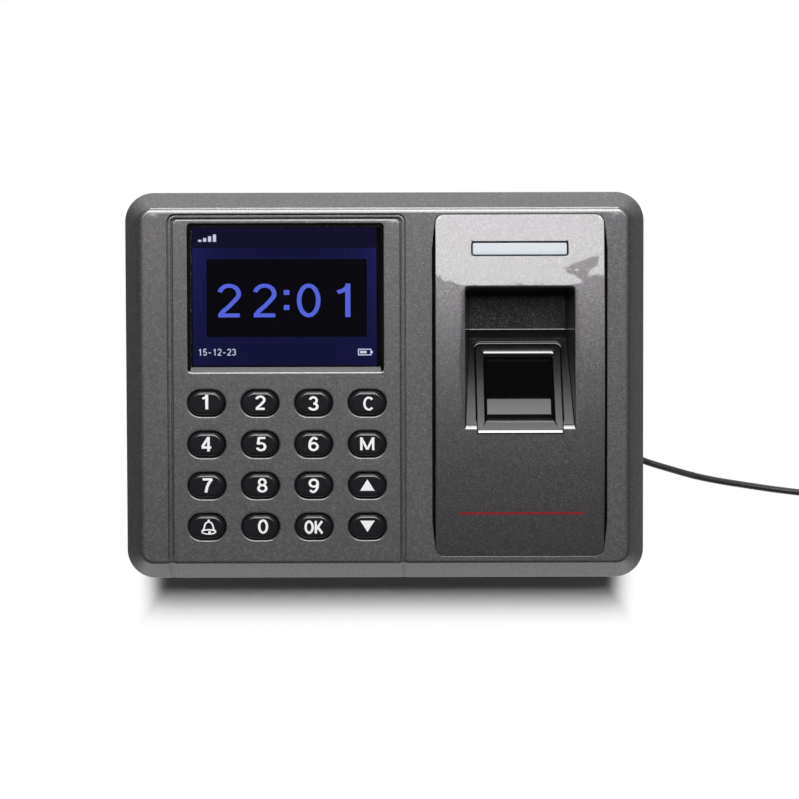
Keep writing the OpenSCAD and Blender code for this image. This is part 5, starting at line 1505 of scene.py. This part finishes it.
def makeFloor(stage):
    # a flat sheet just under the part
    half = stage["floorHalf"]
    x, y = np.meshgrid(np.linspace(-half, half, 13), np.linspace(-half, half, 13))
    points = np.stack([x, y, np.full(x.shape, stage["floorZ"])], 2)
    paper = Finish("floor_paper")
    grain = paper.noise(1.2, 2.0)
    paper.set({"Base Color": paper.blend(grain, stage["floorTone"], tuple(np.array(stage["floorTone"]) * 1.02)),
               "Roughness": 0.9 + (grain - 0.5) * 0.05, "Specular IOR Level": 0.0})
    x, y = paper.axes()[:2]
    # white outside the case's outline, and further off on its near side, where the shadow falls
    share = 0.0
    for spot, (start, end) in zip((abs(x), y, 0.0 - y), stage["whiteFrom"]):
        share = paper.larger(share, paper.reach(spot, start, end, "SMOOTHSTEP"))
    rays = paper.node("ShaderNodeLightPath").socket.node
    seen, *others, length = (Wire(paper, rays.outputs[kind]) for kind in
                             ("Is Camera Ray", "Is Glossy Ray", "Is Transmission Ray", "Ray Length"))
    for other in others:
        seen = paper.larger(seen, other)
    white = paper.node("ShaderNodeEmission", None, {"Color": grey(1.0), "Strength": 1.0})
    plainPaper = Wire(paper, paper.shader.outputs[0])
    lit = paper.node("ShaderNodeMixShader", None, {0: share * seen, 1: plainPaper, 2: white})
    # clear from below and for rays that start right on it, so that the underside is lit as well
    under = paper.node("ShaderNodeNewGeometry", None, None, "Backfacing")
    under = paper.larger(under, length < stage["floorTouch"])
    clear = paper.node("ShaderNodeBsdfTransparent")
    paper.show(paper.node("ShaderNodeMixShader", None, {0: under, 1: lit, 2: clear}))
    floor = stageMesh("floor", points, paper)


def stageSheet(name, corner, acrossSide, upSide, finish, lights):
    # a flat sheet from one corner along its two sides, which lights the part or only shows as a reflection
    across, up = np.meshgrid(np.linspace(0, 1, 3), np.linspace(0, 1, 3))
    points = np.array(corner) + across[..., None] * np.array(acrossSide) + up[..., None] * np.array(upSide)
    sheet = stageMesh(name, points, finish)
    sheet.visible_camera = sheet.visible_transmission = False
    sheet.visible_diffuse = sheet.visible_shadow = lights


def boxCloth(stage):
    # cloth of the soft box: dimmer at both ends, torn along its near edge
    near, far = stage["boxY"]
    cloth = Finish("soft_box_cloth")
    x, y = cloth.axes()[:2]
    level = cloth.ramp((y - near) / (far - near), [(spot, grey(tone)) for spot, tone in stage["boxTones"]])
    fray = (cloth.noise(7.0, 6.0, 0.75) - 0.5) * stage["fray"]
    start, wide, steep = stage["slant"]
    slant = cloth.node("ShaderNodeMath", {"operation": "MINIMUM"}, {0: cloth.larger(start - x, 0.0), 1: wide})
    notchX, notchDeep = stage["notch"]
    edge = stage["boxEdge"] + slant * steep + (x > notchX) * notchDeep
    whole = y + fray > edge
    for corners in stage["tears"]:
        inside = 1.0
        for (fromX, fromY), (toX, toY) in zip(corners, corners[1:] + corners[:1]):
            long = math.hypot(toX - fromX, toY - fromY)
            side = (y - fromY) * ((toX - fromX) / long) - (x - fromX) * ((toY - fromY) / long)
            inside = (side + fray * stage["tearFray"] > 0.0) * inside
        whole = whole * (1 - inside)
    return cloth.shine(cloth.blend(whole, grey(0.0), level), stage["boxLight"])


def makeLight(stage):
    # one soft box over the far side of the case; a card far behind it and one at each side only show as reflections
    near, far = stage["boxY"]
    left, right = stage["boxX"]
    cloth = boxCloth(stage)
    stageSheet("soft_box", (left, far, stage["boxHigh"]), (right - left, 0, 0), (0, near - far, 0), cloth, True)
    white = Finish("white_card")
    white.shine(white.blend(white.noise(300.0), grey(0.9), grey(1.0)), stage["backLight"])
    low, top = stage["backZ"]
    half = stage["backX"]
    stageSheet("back_card", (-half, stage["backY"], low), (2 * half, 0, 0), (0, 0, top - low), white, False)
    half = stage["cardLong"] / 2
    for side, (x, high, tone) in stage["cards"].items():
        card = Finish(side + "_card")
        along, up = card.axes()[1:]
        shade = card.ramp(up / high, [(spot, grey(tone * share)) for spot, share in stage["cardTones"]])
        fade = card.reach(abs(along), *stage["cardFade"], "SMOOTHSTEP")
        card.shine(card.blend(fade, shade, grey(1.0)))
        stageSheet(side + "_card", (x, half, stage["cardLow"]), (0, -2 * half, 0), (0, 0, high), card, False)


def makeWorld(stage):
    # white to the camera, dim to everything else, and bright from below, where only the underside sees it
    scene.world = bpy.data.worlds.new("studio")
    sky = Finish("studio", scene.world)
    sky.tree.nodes.clear()
    seen, soft, below = (sky.node("ShaderNodeBackground", None, {"Color": grey(1.0), "Strength": level})
                         for level in (1.0, stage["ambient"], stage["belowLight"]))
    way = sky.node("ShaderNodeTexCoord", out="Generated")
    up = sky.node("ShaderNodeSeparateXYZ", None, {0: way}, "Z")
    light = sky.node("ShaderNodeMixShader", None, {0: sky.reach(up, 0.0, stage["belowFrom"]), 1: soft, 2: below})
    direct = sky.node("ShaderNodeLightPath", out="Is Camera Ray")
    whole = sky.node("ShaderNodeMixShader", None, {0: direct, 1: light, 2: seen})
    sky.feed(sky.tree.nodes.new("ShaderNodeOutputWorld").inputs["Surface"], whole)


makeFloor(stageSizes)
makeLight(stageSizes)
makeWorld(stageSizes)
print("stage set")
